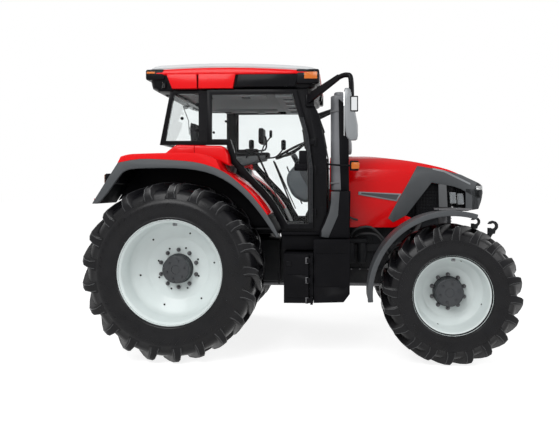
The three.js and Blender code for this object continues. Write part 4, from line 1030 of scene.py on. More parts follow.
tail = side_prism("fender_tail_left", [(-0.465, 1.950), (-0.50, 1.900), (-0.747, 1.512), (-0.715, 1.508),
    (-0.49, 1.84), (-0.40, 1.90), (-0.40, 1.95)], 0.60, 1.125)
tail = rounded(tail, 0.010, 3, 40)
shoulder = side_prism("fender_shoulder_left", [(-0.145, 1.975), (-0.030, 2.066), (0.00, 2.084), (0.44, 2.074),
    (0.478, 2.058), (0.512, 1.98), (0.528, 1.875), (0.40, 1.93)], 0.600, 0.928)
shoulder = rounded(shoulder, 0.022, 4, 30)
combined(shoulder, slab("seam", at(0.180, 0.75, 1.9), at(0.185, 1.0, 2.2)), 'DIFFERENCE')
ridge = side_prism("shoulder_face_left", [(-0.02, 1.998), (0.17, 1.995), (0.17, 2.050), (0.03, 2.058)], 0.85,
    0.931)
for left, material, node in ((skin, RED_PAINT, "rear_fender"), (lip, GREY_PLASTIC, None),
        (liner, BLACK_PLASTIC, None), (tail, BLACK_PLASTIC, None), (shoulder, RED_PAINT, None),
        (rounded(ridge, 0.006, 3), RED_PAINT, None)):
    both_sides(smooth(left, 30), material, node=node)
print("rear fenders: 6 parts a side")

# %% [markdown]
# The tail lamps sit in the back of the tail: a dark housing with a red, an amber and a clear lens side by side.

# %% Tail lamps
def lens_block(name, low, high, material, width=0.006):
    return place(smooth(rounded(slab(name, low, high), width, 3)), material)


def across(side, a, b):
    """Two places across on one side of the tractor, the smaller value first."""
    return sorted((side * a, side * b))


for side in (-1, 1):
    label = "left" if side > 0 else "right"
    y0, y1 = across(side, 0.74, 1.06)
    housing = slab(f"tail_lamp_housing_{label}", at(-0.655, y0, 1.70), at(-0.52, y1, 1.80))
    place(smooth(rounded(housing, 0.012, 3)), BLACK_PLASTIC)
    for a, b, material, tone in ((0.75, 0.86, RED_LENS, "red"), (0.865, 0.955, AMBER_LENS, "amber"),
            (0.96, 1.05, CLEAR_LENS, "clear")):
        y0, y1 = across(side, a, b)
        lens_block(f"tail_lens_{tone}_{label}", at(-0.668, y0, 1.708), at(-0.645, y1, 1.792), material)
    y0, y1 = across(side, 1.08, 1.11)
    lens_block(f"reflector_{label}", at(-0.742, y0, 1.525), at(-0.735, y1, 1.56), RED_LENS, width=0.002)
print("tail lamps: 3 lenses a side")

# %% [markdown]
# ## Front fenders
# The front fenders are plain plastic arcs that turn with the wheels. A strip of the arc makes the blade, a second,
# narrower one its outer lip, and a bracket lifts it over the tyre.

# %% Front fenders
def fender_blade(name):
    x, z = FRONT_AXLE.x - AXLE_X, FRONT_AXLE.z
    blade = side_prism(name, strip(arc(x, z, 0.788, 183, 76, 28), 0.012), 0.802, 1.118)
    lip = side_prism("lip", strip(arc(x, z, 0.789, 185, 73, 30), 0.050), 1.092, 1.119)
    bead = side_prism("bead", strip(arc(x, z, 0.786, 184, 75, 28), 0.022), 0.802, 0.822)
    rib = side_prism("rib", strip(arc(x, z, 0.7895, 178, 82, 24), 0.010), 0.93, 0.99)
    parts = [rounded(blade, 0.003, 2, 50), rounded(lip, 0.008, 3, 50), rounded(bead, 0.004, 2, 50),
        rounded(rib, 0.001, 1, 50)]
    return smooth(joined(name, parts), 30)


def fender_bracket(name):
    x = FRONT_AXLE.x - AXLE_X
    post = prism(name, along((x - 0.07, 0.600, 0.83), (x + 0.05, 0.600, 0.83), (x + 0.03, 0.600, 1.40),
        (x, 0.600, 1.455), (x - 0.06, 0.600, 1.455), (x - 0.05, 0.600, 1.35)), (0, 0.022, 0))
    shelf = prism("shelf", along((x - 0.10, 0.600, 1.448), (x + 0.16, 0.600, 1.448), (x + 0.22, 0.90, 1.448),
        (x - 0.14, 0.90, 1.448)), (0, 0, 0.013))
    dome = slab("dome", at(x - 0.10, 0.84, 1.440), at(x + 0.19, 0.92, 1.462))
    return smooth(joined(name, [rounded(post, 0.004, 2), rounded(shelf, 0.004, 2), rounded(dome, 0.010, 3)]),
        30)


for make, material, node in ((fender_blade, GREY_PLASTIC, "front_fender"),
        (fender_bracket, DARK_STEEL, None)):
    both_sides(make(f"{make.__name__}_left"), material, body="knuckle_left", node=node)
print("front fenders ride on the knuckles")

# %% [markdown]
# ## Roof
# The roof is a pale moulded cap over a red band, on a dark box that holds fans, ducts and lamps. Every level is a
# rounded rectangle, so the parts are stacks of such rings, bridged and capped, and the cap's rings rise in the
# middle.

# %% Rings of the roof
ROOF_REAR, ROOF_FRONT, ROOF_SIDE = -0.334, 1.406, 0.850


def crown(x):
    """How high the joint between band and cap lies along the roof."""
    return 2.862 - 0.036 * ((x - 0.40) / 0.85) ** 2


def roof_ring(inset, level, corner=0.12, steps=5):
    """A rounded rectangle, drawn in by inset, at a fixed height or at one that depends on the station."""
    x0, x1, y = ROOF_REAR + inset, ROOF_FRONT - inset, ROOF_SIDE - inset
    r = max(corner - inset * 0.3, 0.02)
    flat = []
    for cx, cy, start in ((x1 - r, y - r, 0), (x0 + r, y - r, 90), (x0 + r, -y + r, 180),
            (x1 - r, -y + r, 270)):
        corner_points = arc(cx, cy, r, start, start + 90, steps)
        flat += corner_points
        next_x = x0 + r if start == 0 else x1 - r if start == 180 else None
        if next_x is not None:
            flat += [(cx + (next_x - cx) * k / 8, corner_points[-1][1]) for k in range(1, 8)]
    return [at(x, y, level(x) if callable(level) else level) for x, y in flat]


band = bridged("roof_band", [roof_ring(0.012, 2.782), roof_ring(0.002, 2.79), roof_ring(0.0, 2.80),
    roof_ring(0.004, lambda x: crown(x) - 0.025), roof_ring(0.022, lambda x: crown(x) - 0.003)])
place(smooth(band, 40), RED_PAINT, node="roof")
CAP_STEPS = ((0.024, -0.02), (0.012, 0.0), (0.008, 0.006), (0.018, 0.026), (0.040, 0.038), (0.11, 0.046),
    (0.13, 0.038), (0.20, 0.038), (0.23, 0.050))
cap = bridged("roof_lid", [roof_ring(inset, lambda x, up=up: crown(x) + up) for inset, up in CAP_STEPS])
place(smooth(cap, 50), ROOF_WHITE, node="roof_cap")
box = bridged("roof_box", [roof_ring(0.07, 2.646, 0.08), roof_ring(0.05, 2.66, 0.08),
    roof_ring(0.018, 2.775, 0.11), roof_ring(0.018, 2.80, 0.11)])
place(smooth(box, 40), BLACK_PAINT)
print("roof of three stacks")

# %% [markdown]
# Red panels cover the box over the door's rear half, in two lengths with a dark seam. The corners hold lamp
# clusters, and work lamps look forwards and backwards.

# %% Roof panels and lamps
def side_panel(name, outline, y0, y1, width=0.006):
    return smooth(rounded(side_prism(name, outline, y0, y1), width, 3), 30)


def block(name, x0, x1, y0, y1, z0, z1, width=0.006, segments=3):
    """A rounded block by its stations, widths and heights."""
    return smooth(rounded(slab(name, at(x0, y0, z0), at(x1, y1, z1)), width, segments), 30)


def blocks(*sizes):
    return [block("block", *size) for size in sizes]


both_sides(side_panel("roof_panel_rear_left", [(-0.120, 2.792), (0.186, 2.792), (0.186, 2.648),
    (-0.062, 2.648)], 0.79, 0.848), RED_PAINT)
both_sides(side_panel("roof_panel_front_left", [(0.202, 2.792), (0.575, 2.792), (0.545, 2.648),
    (0.202, 2.648)], 0.79, 0.848), RED_PAINT)
both_sides(side_panel("roof_visor_left", [(0.600, 2.786), (1.20, 2.786), (1.16, 2.66), (0.575, 2.66)], 0.785,
    0.842), BLACK_PAINT)
both_sides(block("front_cluster_left", 1.175, 1.402, 0.66, 0.849, 2.685, 2.832, 0.02, 4), BLACK_PAINT)
both_sides(block("front_marker_left", 1.245, 1.392, 0.80, 0.8495, 2.725, 2.812, 0.012, 3), AMBER_LENS)
both_sides(block("rear_cluster_left", -0.330, -0.140, 0.66, 0.849, 2.735, 2.842, 0.02, 4), BLACK_PAINT)
both_sides(block("rear_marker_left", -0.320, -0.225, 0.80, 0.8495, 2.79, 2.825, 0.010, 3), AMBER_LENS)


def round_lamp(name, x, y, z, facing, radius):
    """A round work lamp: a bowl-shaped housing with a rim and a ribbed lens."""
    facing = Vector(facing).normalized()
    centre = Vector(at(x, y, z))
    back = turned(name + "_shell", centre - facing * 0.055, centre, radius, 0.022, 4, 32)
    ring = turned(name + "_rim", centre - facing * 0.012, centre + facing * 0.008, radius + 0.004, 0.004, 2,
        32)
    lens = turned(name + "_lens", centre - facing * 0.002, centre + facing * 0.012, radius - 0.008, 0.005, 3,
        32)
    attach(name + "_shell", [back, ring], BLACK_PLASTIC)
    place(smooth(lens), CLEAR_LENS)


for y in (-0.70, -0.42, 0.42, 0.70):
    label = ("right" if y < 0 else "left") + ("_outer" if abs(y) > 0.5 else "_inner")
    round_lamp("work_lamp_front_" + label, 1.385, y, 2.735, (1, 0, -0.12), 0.045)
    round_lamp("work_lamp_rear_" + label, -0.24, y, 2.68, (-1, 0, -0.25), 0.045)
for side, label in ((-1, "right"), (1, "left")):
    round_lamp(f"corner_lamp_{label}", -0.165, side * 0.800, 2.690, (-0.45, side, -0.08), 0.040)
both_sides(block("lamp_bracket_left", -0.22, -0.06, 0.60, 0.80, 2.63, 2.72, 0.012), BLACK_PLASTIC)
print("roof lamps placed")

# %% [markdown]
# ## Cab
# The cab's tubes are pressed and welded, so their edges are round. The frame's own cab and doors are copied, their
# corners are rounded over, and then they get what is screwed on: seals, hinges, handles, wiper and mirrors.

# %% Frame and doors
place(softened("cab_frame", "cab_tubes", 0.007, 3), BLACK_PAINT, node="cab_frame")
for side in ("right", "left"):
    place(softened(f"door_{side}", f"door_tubes_{side}", 0.006, 3), BLACK_PAINT, body=f"door_{side}",
        node=f"door_{side}")

seal = pipe("door_seal_left", [at(x, 0.8125, z) for x, z in [(0.333, 2.589), (1.130, 2.589), (1.20, 2.375),
    (1.252, 2.20), (1.292, 1.87), (1.292, 1.306), (1.095, 1.306)]], 0.0045)
both_sides(seal, SOFT_RUBBER, body="door_left")
ribs = [pipe("pillar_rib", along((x + 0.005, 0.8165, 1.32), (x + 0.005, 0.8165, 1.86),
    (x - 0.04, 0.8165, 2.19), (x - 0.085, 0.8165, 2.36)), 0.0022, 2) for x in (1.302, 1.314, 1.326)]
both_sides(joined("pillar_ribs_left", ribs), GREY_PLASTIC, body="door_left")
hinges = [turned("hinge", at(1.362, 0.801, z - 0.04), at(1.362, 0.801, z + 0.04), 0.0135, 0.003)
    for z in (1.42, 1.84, 2.12)]
attach_both("door_hinges_left", hinges, BLACK_PAINT, body="door_left")
latch = [block("latch", 1.155, 1.285, 0.770, 0.818, 1.83, 1.905, 0.012),
    block("latch", 1.20, 1.285, 0.770, 0.8175, 1.90, 2.03, 0.010),
    pipe("latch", along((1.17, 0.815, 1.875), (1.17, 0.818, 1.86), (1.27, 0.818, 1.86)), 0.0035)]
attach_both("door_latch_left", latch, BLACK_PLASTIC, body="door_left")
pull = pipe("door_pull_left", flowing(along((1.265, 0.780, 2.055), (1.258, 0.762, 2.08), (1.244, 0.762, 2.20),
    (1.235, 0.780, 2.235))), 0.009)
both_sides(pull, BLACK_PLASTIC, body="door_left")
strut = [rod("strut", at(0.79, 0.776, 1.985), at(0.945, 0.776, 1.645), 0.010),
    rod("strut", at(0.94, 0.776, 1.655), at(1.055, 0.776, 1.40), 0.006),
    rod("strut", at(0.945, 0.776, 1.93), at(1.135, 0.776, 1.46), 0.008)]
attach_both("door_rods_left", strut, BLACK_PAINT, body="door_left")
knobs = [rod("knob", at(x, 0.758, z), at(x, 0.778, z), 0.016)
    for x, z in ((0.02, 2.36), (0.175, 2.50), (0.175, 2.24))]
attach_both("window_knobs_left", [rounded(k, 0.005, 3) for k in knobs], BLACK_PLASTIC)
sill = [block("sill", 1.02, 1.44, 0.765, 0.812, 1.196, 1.222, 0.006)] + [block("sill", x, x + 0.012, 0.77,
    0.80, 1.215, 1.232, 0.002, 1) for x in [1.06 + k * 0.026 for k in range(14)]]
attach_both("door_sill_left", sill, BLACK_PLASTIC)
both_sides(block("side_skirt_left", 1.02, 1.45, 0.60, 0.776, 1.04, 1.199, 0.012), BLACK_PLASTIC)
print("cab: seals, hinges, latches, rods")

# %% [markdown]
# Each mirror hangs from a bent tube that starts at the front post. The head is a moulded shell with a flat mirror
# above and a small wide-angle one on its outer face, so that the driver sees the ground beside the wheel.

# %% Mirrors
def mirror_head(name):
    rings = []
    for z, x0, x1, y0, y1 in ((2.098, 1.700, 1.748, 1.170, 1.205), (2.108, 1.680, 1.762, 1.158, 1.214),
            (2.140, 1.660, 1.769, 1.152, 1.218), (2.24, 1.646, 1.768, 1.151, 1.219),
            (2.36, 1.643, 1.745, 1.151, 1.219), (2.48, 1.642, 1.722, 1.152, 1.218),
            (2.560, 1.642, 1.706, 1.154, 1.214), (2.580, 1.650, 1.694, 1.166, 1.202)):
        cx, cy, rx, ry = (x0 + x1) / 2, (y0 + y1) / 2, (x1 - x0) / 2, (y1 - y0) / 2
        rings.append([at(cx + rx * math.copysign(abs(math.cos(a)) ** 0.45, math.cos(a)),
            cy + ry * math.copysign(abs(math.sin(a)) ** 0.45, math.sin(a)), z)
            for a in [math.tau * k / 28 for k in range(28)]])
    return smooth(bridged(name, rings), 50)


head = mirror_head("mirror_head_left")
arm = pipe("mirror_arm_left", flowing(along((1.300, 0.790, 2.540), (1.36, 0.85, 2.585), (1.50, 0.99, 2.655),
    (1.60, 1.10, 2.700), (1.670, 1.165, 2.706), (1.705, 1.185, 2.66), (1.712, 1.188, 2.40)), 5), 0.024, 4)
foot = [block("foot", 1.262, 1.352, 0.745, 0.808, 2.465, 2.590, 0.012),
    prism("foot", along((1.30, 0.795, 2.49), (1.30, 0.795, 2.585), (1.60, 1.09, 2.722), (1.60, 1.09, 2.672)),
    (-0.02, 0.02, 0)), block("foot", 1.698, 1.770, 1.196, 1.2235, 2.36, 2.505, 0.008)]
both_sides(head, SILVER_PLASTIC, node="mirror")
both_sides(smooth(joined("mirror_arm_left", [arm] + foot), 50), BLACK_PAINT)
both_sides(block("mirror_glass_left", 1.6395, 1.6455, 1.162, 1.210, 2.14, 2.545, 0.002, 2), MIRROR_FACE)
both_sides(block("wide_mirror_left", 1.708, 1.760, 1.222, 1.2248, 2.372, 2.493, 0.001, 1), MIRROR_FACE)
print("mirrors and arms")

# %% [markdown]
# Inside the roof is a pale lining with ducts and a lamp panel. Rubber frames hold the front and rear panes, and a
# wiper hangs from the top of the windscreen.

# %% Lining, pane frames and wiper
lining = blocks((-0.07, 1.25, -0.725, 0.725, 2.612, 2.645, 0.008),
    (0.95, 1.24, -0.70, 0.70, 2.575, 2.62, 0.015), (0.10, 0.85, 0.48, 0.68, 2.59, 2.62, 0.012),
    (0.10, 0.85, -0.68, -0.48, 2.59, 2.62, 0.012))
attach("roof_lining", lining, PALE_LINING)
vents = [block("vent", x, x + 0.09, y - 0.05, y + 0.05, 2.578, 2.60, 0.006) for x in (0.2, 0.6)
    for y in (-0.58, 0.58)]
vents += [block("vent", 1.02, 1.12, y - 0.06, y + 0.06, 2.565, 2.58, 0.006) for y in (-0.5, -0.17, 0.17, 0.5)]
attach("roof_vents", vents, GREY_PLASTIC)
screen_frame = pipe("screen_seal", along((1.468, 0.735, 1.41), (1.464, 0.735, 2.014), (1.391, 0.735, 2.383),
    (1.268, 0.735, 2.630), (1.268, -0.735, 2.630), (1.391, -0.735, 2.383), (1.464, -0.735, 2.014),
    (1.468, -0.735, 1.41)), 0.009)
rear_frame = pipe("rear_seal", along((-0.192, 0.725, 2.13), (-0.098, 0.725, 2.632), (-0.098, -0.725, 2.632),
    (-0.192, -0.725, 2.13), (-0.192, 0.725, 2.13)), 0.010)
place(joined("pane_seals", [screen_frame, rear_frame]), SOFT_RUBBER)
wiper = [pipe("wiper", along((1.312, 0.05, 2.575), (1.345, 0.0, 2.53), (1.440, -0.26, 2.26)), 0.007),
    pipe("wiper", along((1.385, -0.14, 2.43), (1.432, -0.26, 2.25), (1.466, -0.36, 2.08)), 0.005),
    rod("wiper", at(1.28, 0.05, 2.575), at(1.318, 0.05, 2.580), 0.02)]
attach("front_wiper", wiper, BLACK_PAINT)
rear_wiper = [pipe("rear_wiper", along((-0.170, 0.0, 2.57), (-0.165, 0.2, 2.45), (-0.190, 0.35, 2.30)),
    0.006), rod("rear_wiper", at(-0.12, 0.0, 2.58), at(-0.17, 0.0, 2.57), 0.02),
    pipe("rear_wiper", along((-0.215, -0.12, 2.145), (-0.23, -0.10, 2.15), (-0.23, 0.10, 2.15),
    (-0.215, 0.12, 2.145)), 0.009)]
attach("rear_window_fittings", rear_wiper, BLACK_PAINT)
print("lining, seals and wipers")

# %% [markdown]
# ## Seat
# The cushion and the backrest are foam in woven cloth. Each starts as a slightly small block of its own outline,
# is inflated as cloth, and then gets its sewn channels. A cap on how far the cloth may move keeps
# the pad inside its place.

# %% Woven cloth
def woven(name, colour, thread=260):
    """Two crossed sets of threads on the piece's own coordinates."""
    material = finish(name, colour, 0.9, vary=0.2, mottle=8, specular=0.2)
    tree = material.node_tree
    heights = []
    where = tree.nodes.new('ShaderNodeTexCoord')
    for direction in ('Y', 'Z'):
        wave = tree.nodes.new('ShaderNodeTexWave')
        wave.bands_direction = direction
        wave.inputs['Scale'].default_value = thread
        tree.links.new(where.outputs['Object'], wave.inputs['Vector'])
        heights.append(wave.outputs['Fac'])
    relief(tree, tree.nodes['Principled BSDF'], calc(tree, 'MAXIMUM', *heights), 0.5, 0.0006)
    return material


SEAT_CLOTH = woven("seat_cloth", (0.030, 0.031, 0.034))

# %% Inflated pads
PAD_VOXEL, PAD_CAP, PAD_FRAMES = 0.013, 0.024, 20


def stuffed(piece, keep_flat):
    """Inflate a closed form as cloth; keep_flat says which corners rest on something and stay where they are."""
    modify(piece, 'REMESH', mode='VOXEL', voxel_size=PAD_VOXEL)
    before = [v.co.copy() for v in piece.data.vertices]
    activate(piece)
    bpy.ops.object.modifier_add(type='CLOTH')
    cloth = piece.modifiers[-1]
    cloth.settings.use_pressure = True
    cloth.settings.uniform_pressure_force = 4
    cloth.settings.effector_weights.gravity = 0
    cloth.collision_settings.use_collision = False
    scene = bpy.context.scene
    for step in range(1, PAD_FRAMES + 1):
        scene.frame_set(step)
    activate(piece)
    bpy.ops.object.modifier_apply(modifier=cloth.name)
    scene.frame_set(1)
    most = 0
    for vertex, start in zip(piece.data.vertices, before):
        move = vertex.co - start
        if keep_flat(start):
            move *= 0
        elif move.length > PAD_CAP:
            move *= PAD_CAP / move.length
        vertex.co = start + move
        most = max(most, move.length)
    modify(piece, 'SMOOTH', factor=0.5, iterations=4)
    modify(piece, 'SUBSURF', levels=1, render_levels=1)
    print(piece.name, "swelled by up to", round(most * 1000, 1), "mm,", len(piece.data.polygons), "faces")
    return piece


def channels(piece, lines, depth=0.008, width=0.011):
    """Press sewn channels in: each line gives a distance from a corner to the seam, and where it counts."""
    for vertex in piece.data.vertices:
        for distance, counts in lines:
            if counts(vertex.co):
                gap = distance(vertex.co)
                vertex.co -= vertex.normal * depth * math.exp(-(gap / width) ** 2)
    return smooth(piece, 60)


cushion = side_prism("seat_cushion_pad", [(0.085, 1.752), (0.575, 1.752), (0.596, 1.800), (0.560, 1.838),
    (0.40, 1.822), (0.12, 1.838)], -0.222, 0.222)
rounded(cushion, 0.022, 3)
stuffed(cushion, lambda co: co.z < 1.765)

def on_top(co):
    return co.z > 1.80


def between_seams(co):
    return on_top(co) and abs(co.y) < 0.135


channels(cushion, [(lambda co: abs(abs(co.y) - 0.135), on_top),
    (lambda co: abs(co.x - ahead(0.235)), between_seams),
    (lambda co: abs(co.x - ahead(0.385)), between_seams)])
backrest = side_prism("seat_back_pad", [(-0.010, 1.900), (0.085, 1.900), (0.065, 2.02), (0.045, 2.20),
    (0.020, 2.395), (-0.040, 2.400), (-0.052, 2.30)], -0.198, 0.198)
rounded(backrest, 0.024, 3)
stuffed(backrest, lambda co: co.x < ahead(-0.035))

def in_front(co):
    return co.x > ahead(0.0)


def in_the_middle(co):
    return in_front(co) and abs(co.y) < 0.125


channels(backrest, [(lambda co: abs(abs(co.y) - 0.125), in_front),
    (lambda co: abs(co.z - 2.03), in_the_middle), (lambda co: abs(co.z - 2.16), in_the_middle),
    (lambda co: abs(co.z - 2.29), in_front)])
place(cushion, SEAT_CLOTH, node="seat_cushion")
place(backrest, SEAT_CLOTH, node="seat_back")

# %% [markdown]
# A seat like this rides on a scissor stand inside rubber bellows. Folds are stacked rings that step in and out.

# %% Seat stand, armrests and belt
place(softened("seat_base", "seat_stand", 0.016, 3), BLACK_PLASTIC, node="seat_base")
folds = []
for k in range(9):
    out, z = (0.0 if k % 2 else 0.012), 1.535 + 0.016 * k
    folds.append([at(0.25 + sx * (0.225 + out), sy * (0.20 + out), z)
        for sx, sy in ((-1, -1), (1, -1), (1, 1), (-1, 1))])
place(smooth(rounded(bridged("seat_bellows", folds), 0.005, 2)), SOFT_RUBBER)
armrest = block("armrest_left", 0.06, 0.40, 0.275, 0.345, 2.045, 2.095, 0.018, 4)
arm_stay = block("armrest_stay", 0.04, 0.10, 0.255, 0.285, 1.90, 2.07, 0.010)
place(joined("armrest_left", [armrest, arm_stay]), SOFT_RUBBER)
buckle = [pipe("belt", along((0.10, -0.262, 1.80), (0.15, -0.268, 1.875), (0.17, -0.268, 1.90)), 0.006),
    block("belt", 0.15, 0.20, -0.280, -0.258, 1.885, 1.945, 0.006)]
attach("belt_buckle", buckle, BLACK_PLASTIC)
print("seat stand with", len(folds) - 1, "folds")

# %% [markdown]
# ## Driver's controls
# The steering wheel is a padded ring on three spokes, square to its own column. Around it are the cowl with its
# gauges, the pedals, the right-hand console with its lever and joystick, and a screen on a bent tube.

# %% Steering wheel and cowl
WHEEL_AXIS = Vector((-0.46947, 0, 0.88295))
WHEEL_AT = Vector(at(1.060, 0, 2.080))
deselect()
bpy.ops.mesh.primitive_torus_add(location=WHEEL_AT, rotation=WHEEL_AXIS.to_track_quat('Z', 'Y').to_euler(),
    major_radius=0.186, minor_radius=0.0135, major_segments=72, minor_segments=16)
rim_ring = settle(bpy.context.object)
spokes = []
for turn in (90, 210, 330):
    out = WHEEL_AXIS.orthogonal().normalized()
    out.rotate(Matrix.Rotation(math.radians(turn), 3, WHEEL_AXIS))
    spokes.append(pipe("spoke", flowing([tuple(WHEEL_AT - WHEEL_AXIS * 0.030 + out * 0.03),
        tuple(WHEEL_AT - WHEEL_AXIS * 0.022 + out * 0.10), tuple(WHEEL_AT + out * 0.184)]), 0.010))
boss = turned("boss", WHEEL_AT - WHEEL_AXIS * 0.045, WHEEL_AT - WHEEL_AXIS * 0.008, 0.048, 0.012, 4, 32)
wheel = smooth(joined("steering_ring", [rim_ring, boss] + spokes), 50)
place(wheel, SOFT_RUBBER, body="steering_wheel", node="steering_wheel")
place(softened("dashboard", "dash_cowl", 0.022, 4), INTERIOR_GREY, node="dashboard")
COWL_GREY = finish("cowl_grey", (0.115, 0.130, 0.145), 0.32, vary=0.1, grain=500, bump=0.05, specular=0.4)
cowl = side_prism("column_cowl", [(1.120, 1.92), (1.165, 1.952), (1.33, 1.952), (1.36, 1.55), (1.22, 1.495),
    (1.09, 1.565), (1.015, 1.72), (1.025, 1.82)], -0.165, 0.165)
place(smooth(rounded(cowl, 0.045, 5, 20), 50), COWL_GREY)
place(block("gauge", 1.185, 1.30, -0.13, 0.13, 1.945, 1.9745, 0.008), BLACK_PAINT)
stalks = [pipe("stalk", along((1.15, s * 0.04, 1.935), (1.13, s * 0.12, 1.975), (1.115, s * 0.17, 1.985)),
    0.006) for s in (-1, 1)]
place(joined("column_stalks", stalks), BLACK_PLASTIC)

# %% Pedals, console and screen
pedals = []
for y in (-0.24, -0.30, 0.24):
    pedals += [pipe("pedal", along((1.39, y, 1.50), (1.33, y, 1.42), (1.29, y, 1.33)), 0.008),
        block("pedal", 1.255, 1.275, y - 0.03, y + 0.03, 1.29, 1.38, 0.006)]
pedals += [side_panel("pedal", [(1.20, 1.252), (1.409, 1.252), (1.409, 1.53), (1.31, 1.51), (1.235, 1.38)],
    -0.20, 0.20, 0.02)]
attach("pedals", pedals, BLACK_PLASTIC)
place(block("floor_mat", 0.56, 1.40, -0.66, 0.66, 1.2405, 1.252, 0.004), FLOOR_MAT)
place(softened("side_console", "console_body", 0.014, 3), INTERIOR_GREY, node="side_console")
grip = [pipe("grip", along((0.64, -0.36, 1.98), (0.645, -0.36, 2.06), (0.66, -0.36, 2.10)), 0.009),
    block("grip", 0.635, 0.690, -0.385, -0.335, 2.075, 2.175, 0.020, 4),
    pipe("grip", along((0.76, -0.42, 1.98), (0.80, -0.42, 2.10), (0.875, -0.42, 2.20)), 0.007),
    block("grip", 0.862, 0.892, -0.435, -0.405, 2.19, 2.27, 0.012, 4)]
grip += [turned("knob", at(x, y, 1.98), at(x, y, 2.035), 0.012, 0.004) for x in (0.45, 0.52)
    for y in (-0.41, -0.34)]
grip += blocks((0.46, 0.86, -0.455, -0.31, 1.985, 2.035, 0.012),
    (0.60, 0.74, -0.44, -0.32, 2.025, 2.075, 0.016), (0.16, 0.52, 0.40, 0.68, 1.498, 1.90, 0.03))
grip += [pipe("grip", flowing(along((0.80, -0.40, 1.975), (0.93, -0.40, 1.99), (1.01, -0.40, 2.08))), 0.008),
    block("grip", 0.985, 1.035, -0.425, -0.375, 2.06, 2.17, 0.02, 4)]
attach("console_levers", grip, BLACK_PLASTIC)
screen = [block("screen", 0.775, 0.820, -0.62, -0.40, 2.115, 2.275, 0.010),
    pipe("screen", flowing(along((0.60, -0.44, 1.96), (0.70, -0.50, 2.04), (0.83, -0.51, 2.06),
    (0.835, -0.51, 2.18), (0.815, -0.51, 2.19))), 0.009)]
attach("terminal", screen, BLACK_PLASTIC)
place(block("terminal_face", 0.770, 0.777, -0.605, -0.415, 2.13, 2.26, 0.003), BLACK_PAINT)
place(softened("cab_floor", "cab_tub", 0.010, 2), BLACK_PLASTIC, node="cab_floor")
print("controls placed")

# %% [markdown]
# ## Right side: toolbox, cleaning unit and stack
# The boxes below the cab are moulded covers, so their edges are generous and their faces have shallow recesses.
# The toolbox door swings on three bolted hinges. The stack stands on the neck of the cleaning unit's cover.

# %% Toolbox and its door
place(softened("toolbox", "toolbox_body", 0.014, 3), BLACK_PLASTIC, node="toolbox")
lid = softened("toolbox_door", "toolbox_lid", 0.008, 3)
for z in (0.595, 0.820):
    combined(lid, slab("groove", at(1.09, -0.97, z), at(1.275, -0.948, z + 0.007)), 'DIFFERENCE')
place(smooth(lid, 30), BLACK_PLASTIC, body="toolbox_door", node="toolbox_door")
place(block("catch", 1.085, 1.135, -0.962, -0.950, 0.905, 0.955, 0.004), BLACK_PAINT, body="toolbox_door")


def bolted_hinge(name, x, z, y):
    """A leaf with four bolt heads."""
    parts = [block(name, x - 0.026, x + 0.002, y - 0.004, y + 0.004, z - 0.030, z + 0.030, 0.002)]
    parts += [turned("bolt", at(x + dx, y - 0.004, z + dz), at(x + dx, y - 0.009, z + dz), 0.005, 0.001, 1, 6)
        for dx in (-0.020, -0.006) for dz in (-0.018, 0.018)]
    return smooth(joined(name, parts))


for k, z in enumerate((0.575, 0.770, 0.960)):
    place(bolted_hinge(f"toolbox_hinge_{k + 1}", 1.298, z, -0.953), DARK_STEEL, body="toolbox_door")
print("toolbox with three hinges")

# %% Cleaning unit, stack and position lamp
cover = softened("aftertreatment_cover", "unit_cover", 0.014, 3)
for z in (0.70, 1.02):
    combined(cover, slab("groove", at(1.375, -0.94, z), at(1.675, -0.9165, z + 0.006)), 'DIFFERENCE')
place(smooth(cover, 30), BLACK_PLASTIC, node="aftertreatment_cover")
STACK_GREY = finish("stack_grey", (0.125, 0.128, 0.138), 0.4, vary=0.08, grain=500, bump=0.08, specular=0.3)
place(softened("exhaust_stack", "stack_shell", 0.016, 4), STACK_GREY, node="exhaust_stack")
shade_panel = side_prism("stack_shade", [(1.590, 2.56), (1.690, 2.47), (1.698, 1.625), (1.615, 1.625),
    (1.600, 2.0)], -0.712, -0.55)
place(smooth(rounded(shade_panel, 0.010, 3)), BLACK_PLASTIC)
gusset = side_prism("neck_gusset", [(1.405, 1.165), (1.405, 1.235), (1.445, 1.320), (1.482, 1.42),
    (1.505, 1.52), (1.515, 1.628), (1.690, 1.628), (1.700, 1.165)], -0.850, -0.69)
place(smooth(rounded(gusset, 0.012, 3)), BLACK_PLASTIC)
facet = side_prism("neck_facet", [(1.520, 1.625), (1.603, 1.625), (1.586, 1.39), (1.492, 1.172),
    (1.425, 1.180), (1.425, 1.245), (1.462, 1.320), (1.500, 1.42), (1.518, 1.52)], -0.856, -0.845)
place(smooth(rounded(facet, 0.003, 2)), GREY_PLASTIC)
clips = [block("clip", 1.508, 1.60, -0.708, -0.542, z, z + 0.016, 0.004) for z in (1.70, 2.42)]
place(joined("stack_clamps", clips), DARK_STEEL)
lamp_stay = pipe("marker_stay_left", along((1.462, 0.745, 1.90), (1.60, 0.775, 1.885), (1.74, 0.80, 1.88)),
    0.010)
lamp_box = block("marker_box", 1.700, 1.790, 0.775, 0.830, 1.83, 1.93, 0.012)
both_sides(joined("marker_stay_left", [lamp_stay, lamp_box]), BLACK_PLASTIC)
both_sides(block("marker_lens_left", 1.715, 1.795, 0.79, 0.834, 1.845, 1.915, 0.010), AMBER_LENS)
print("cleaning unit and stack")

# %% [markdown]
# ## Left side: tank and steps
# The fuel tank is blow-moulded, so its corners are large. Three open steps lead up to the left door, and a filler
# cap sits on the tank's shoulder.

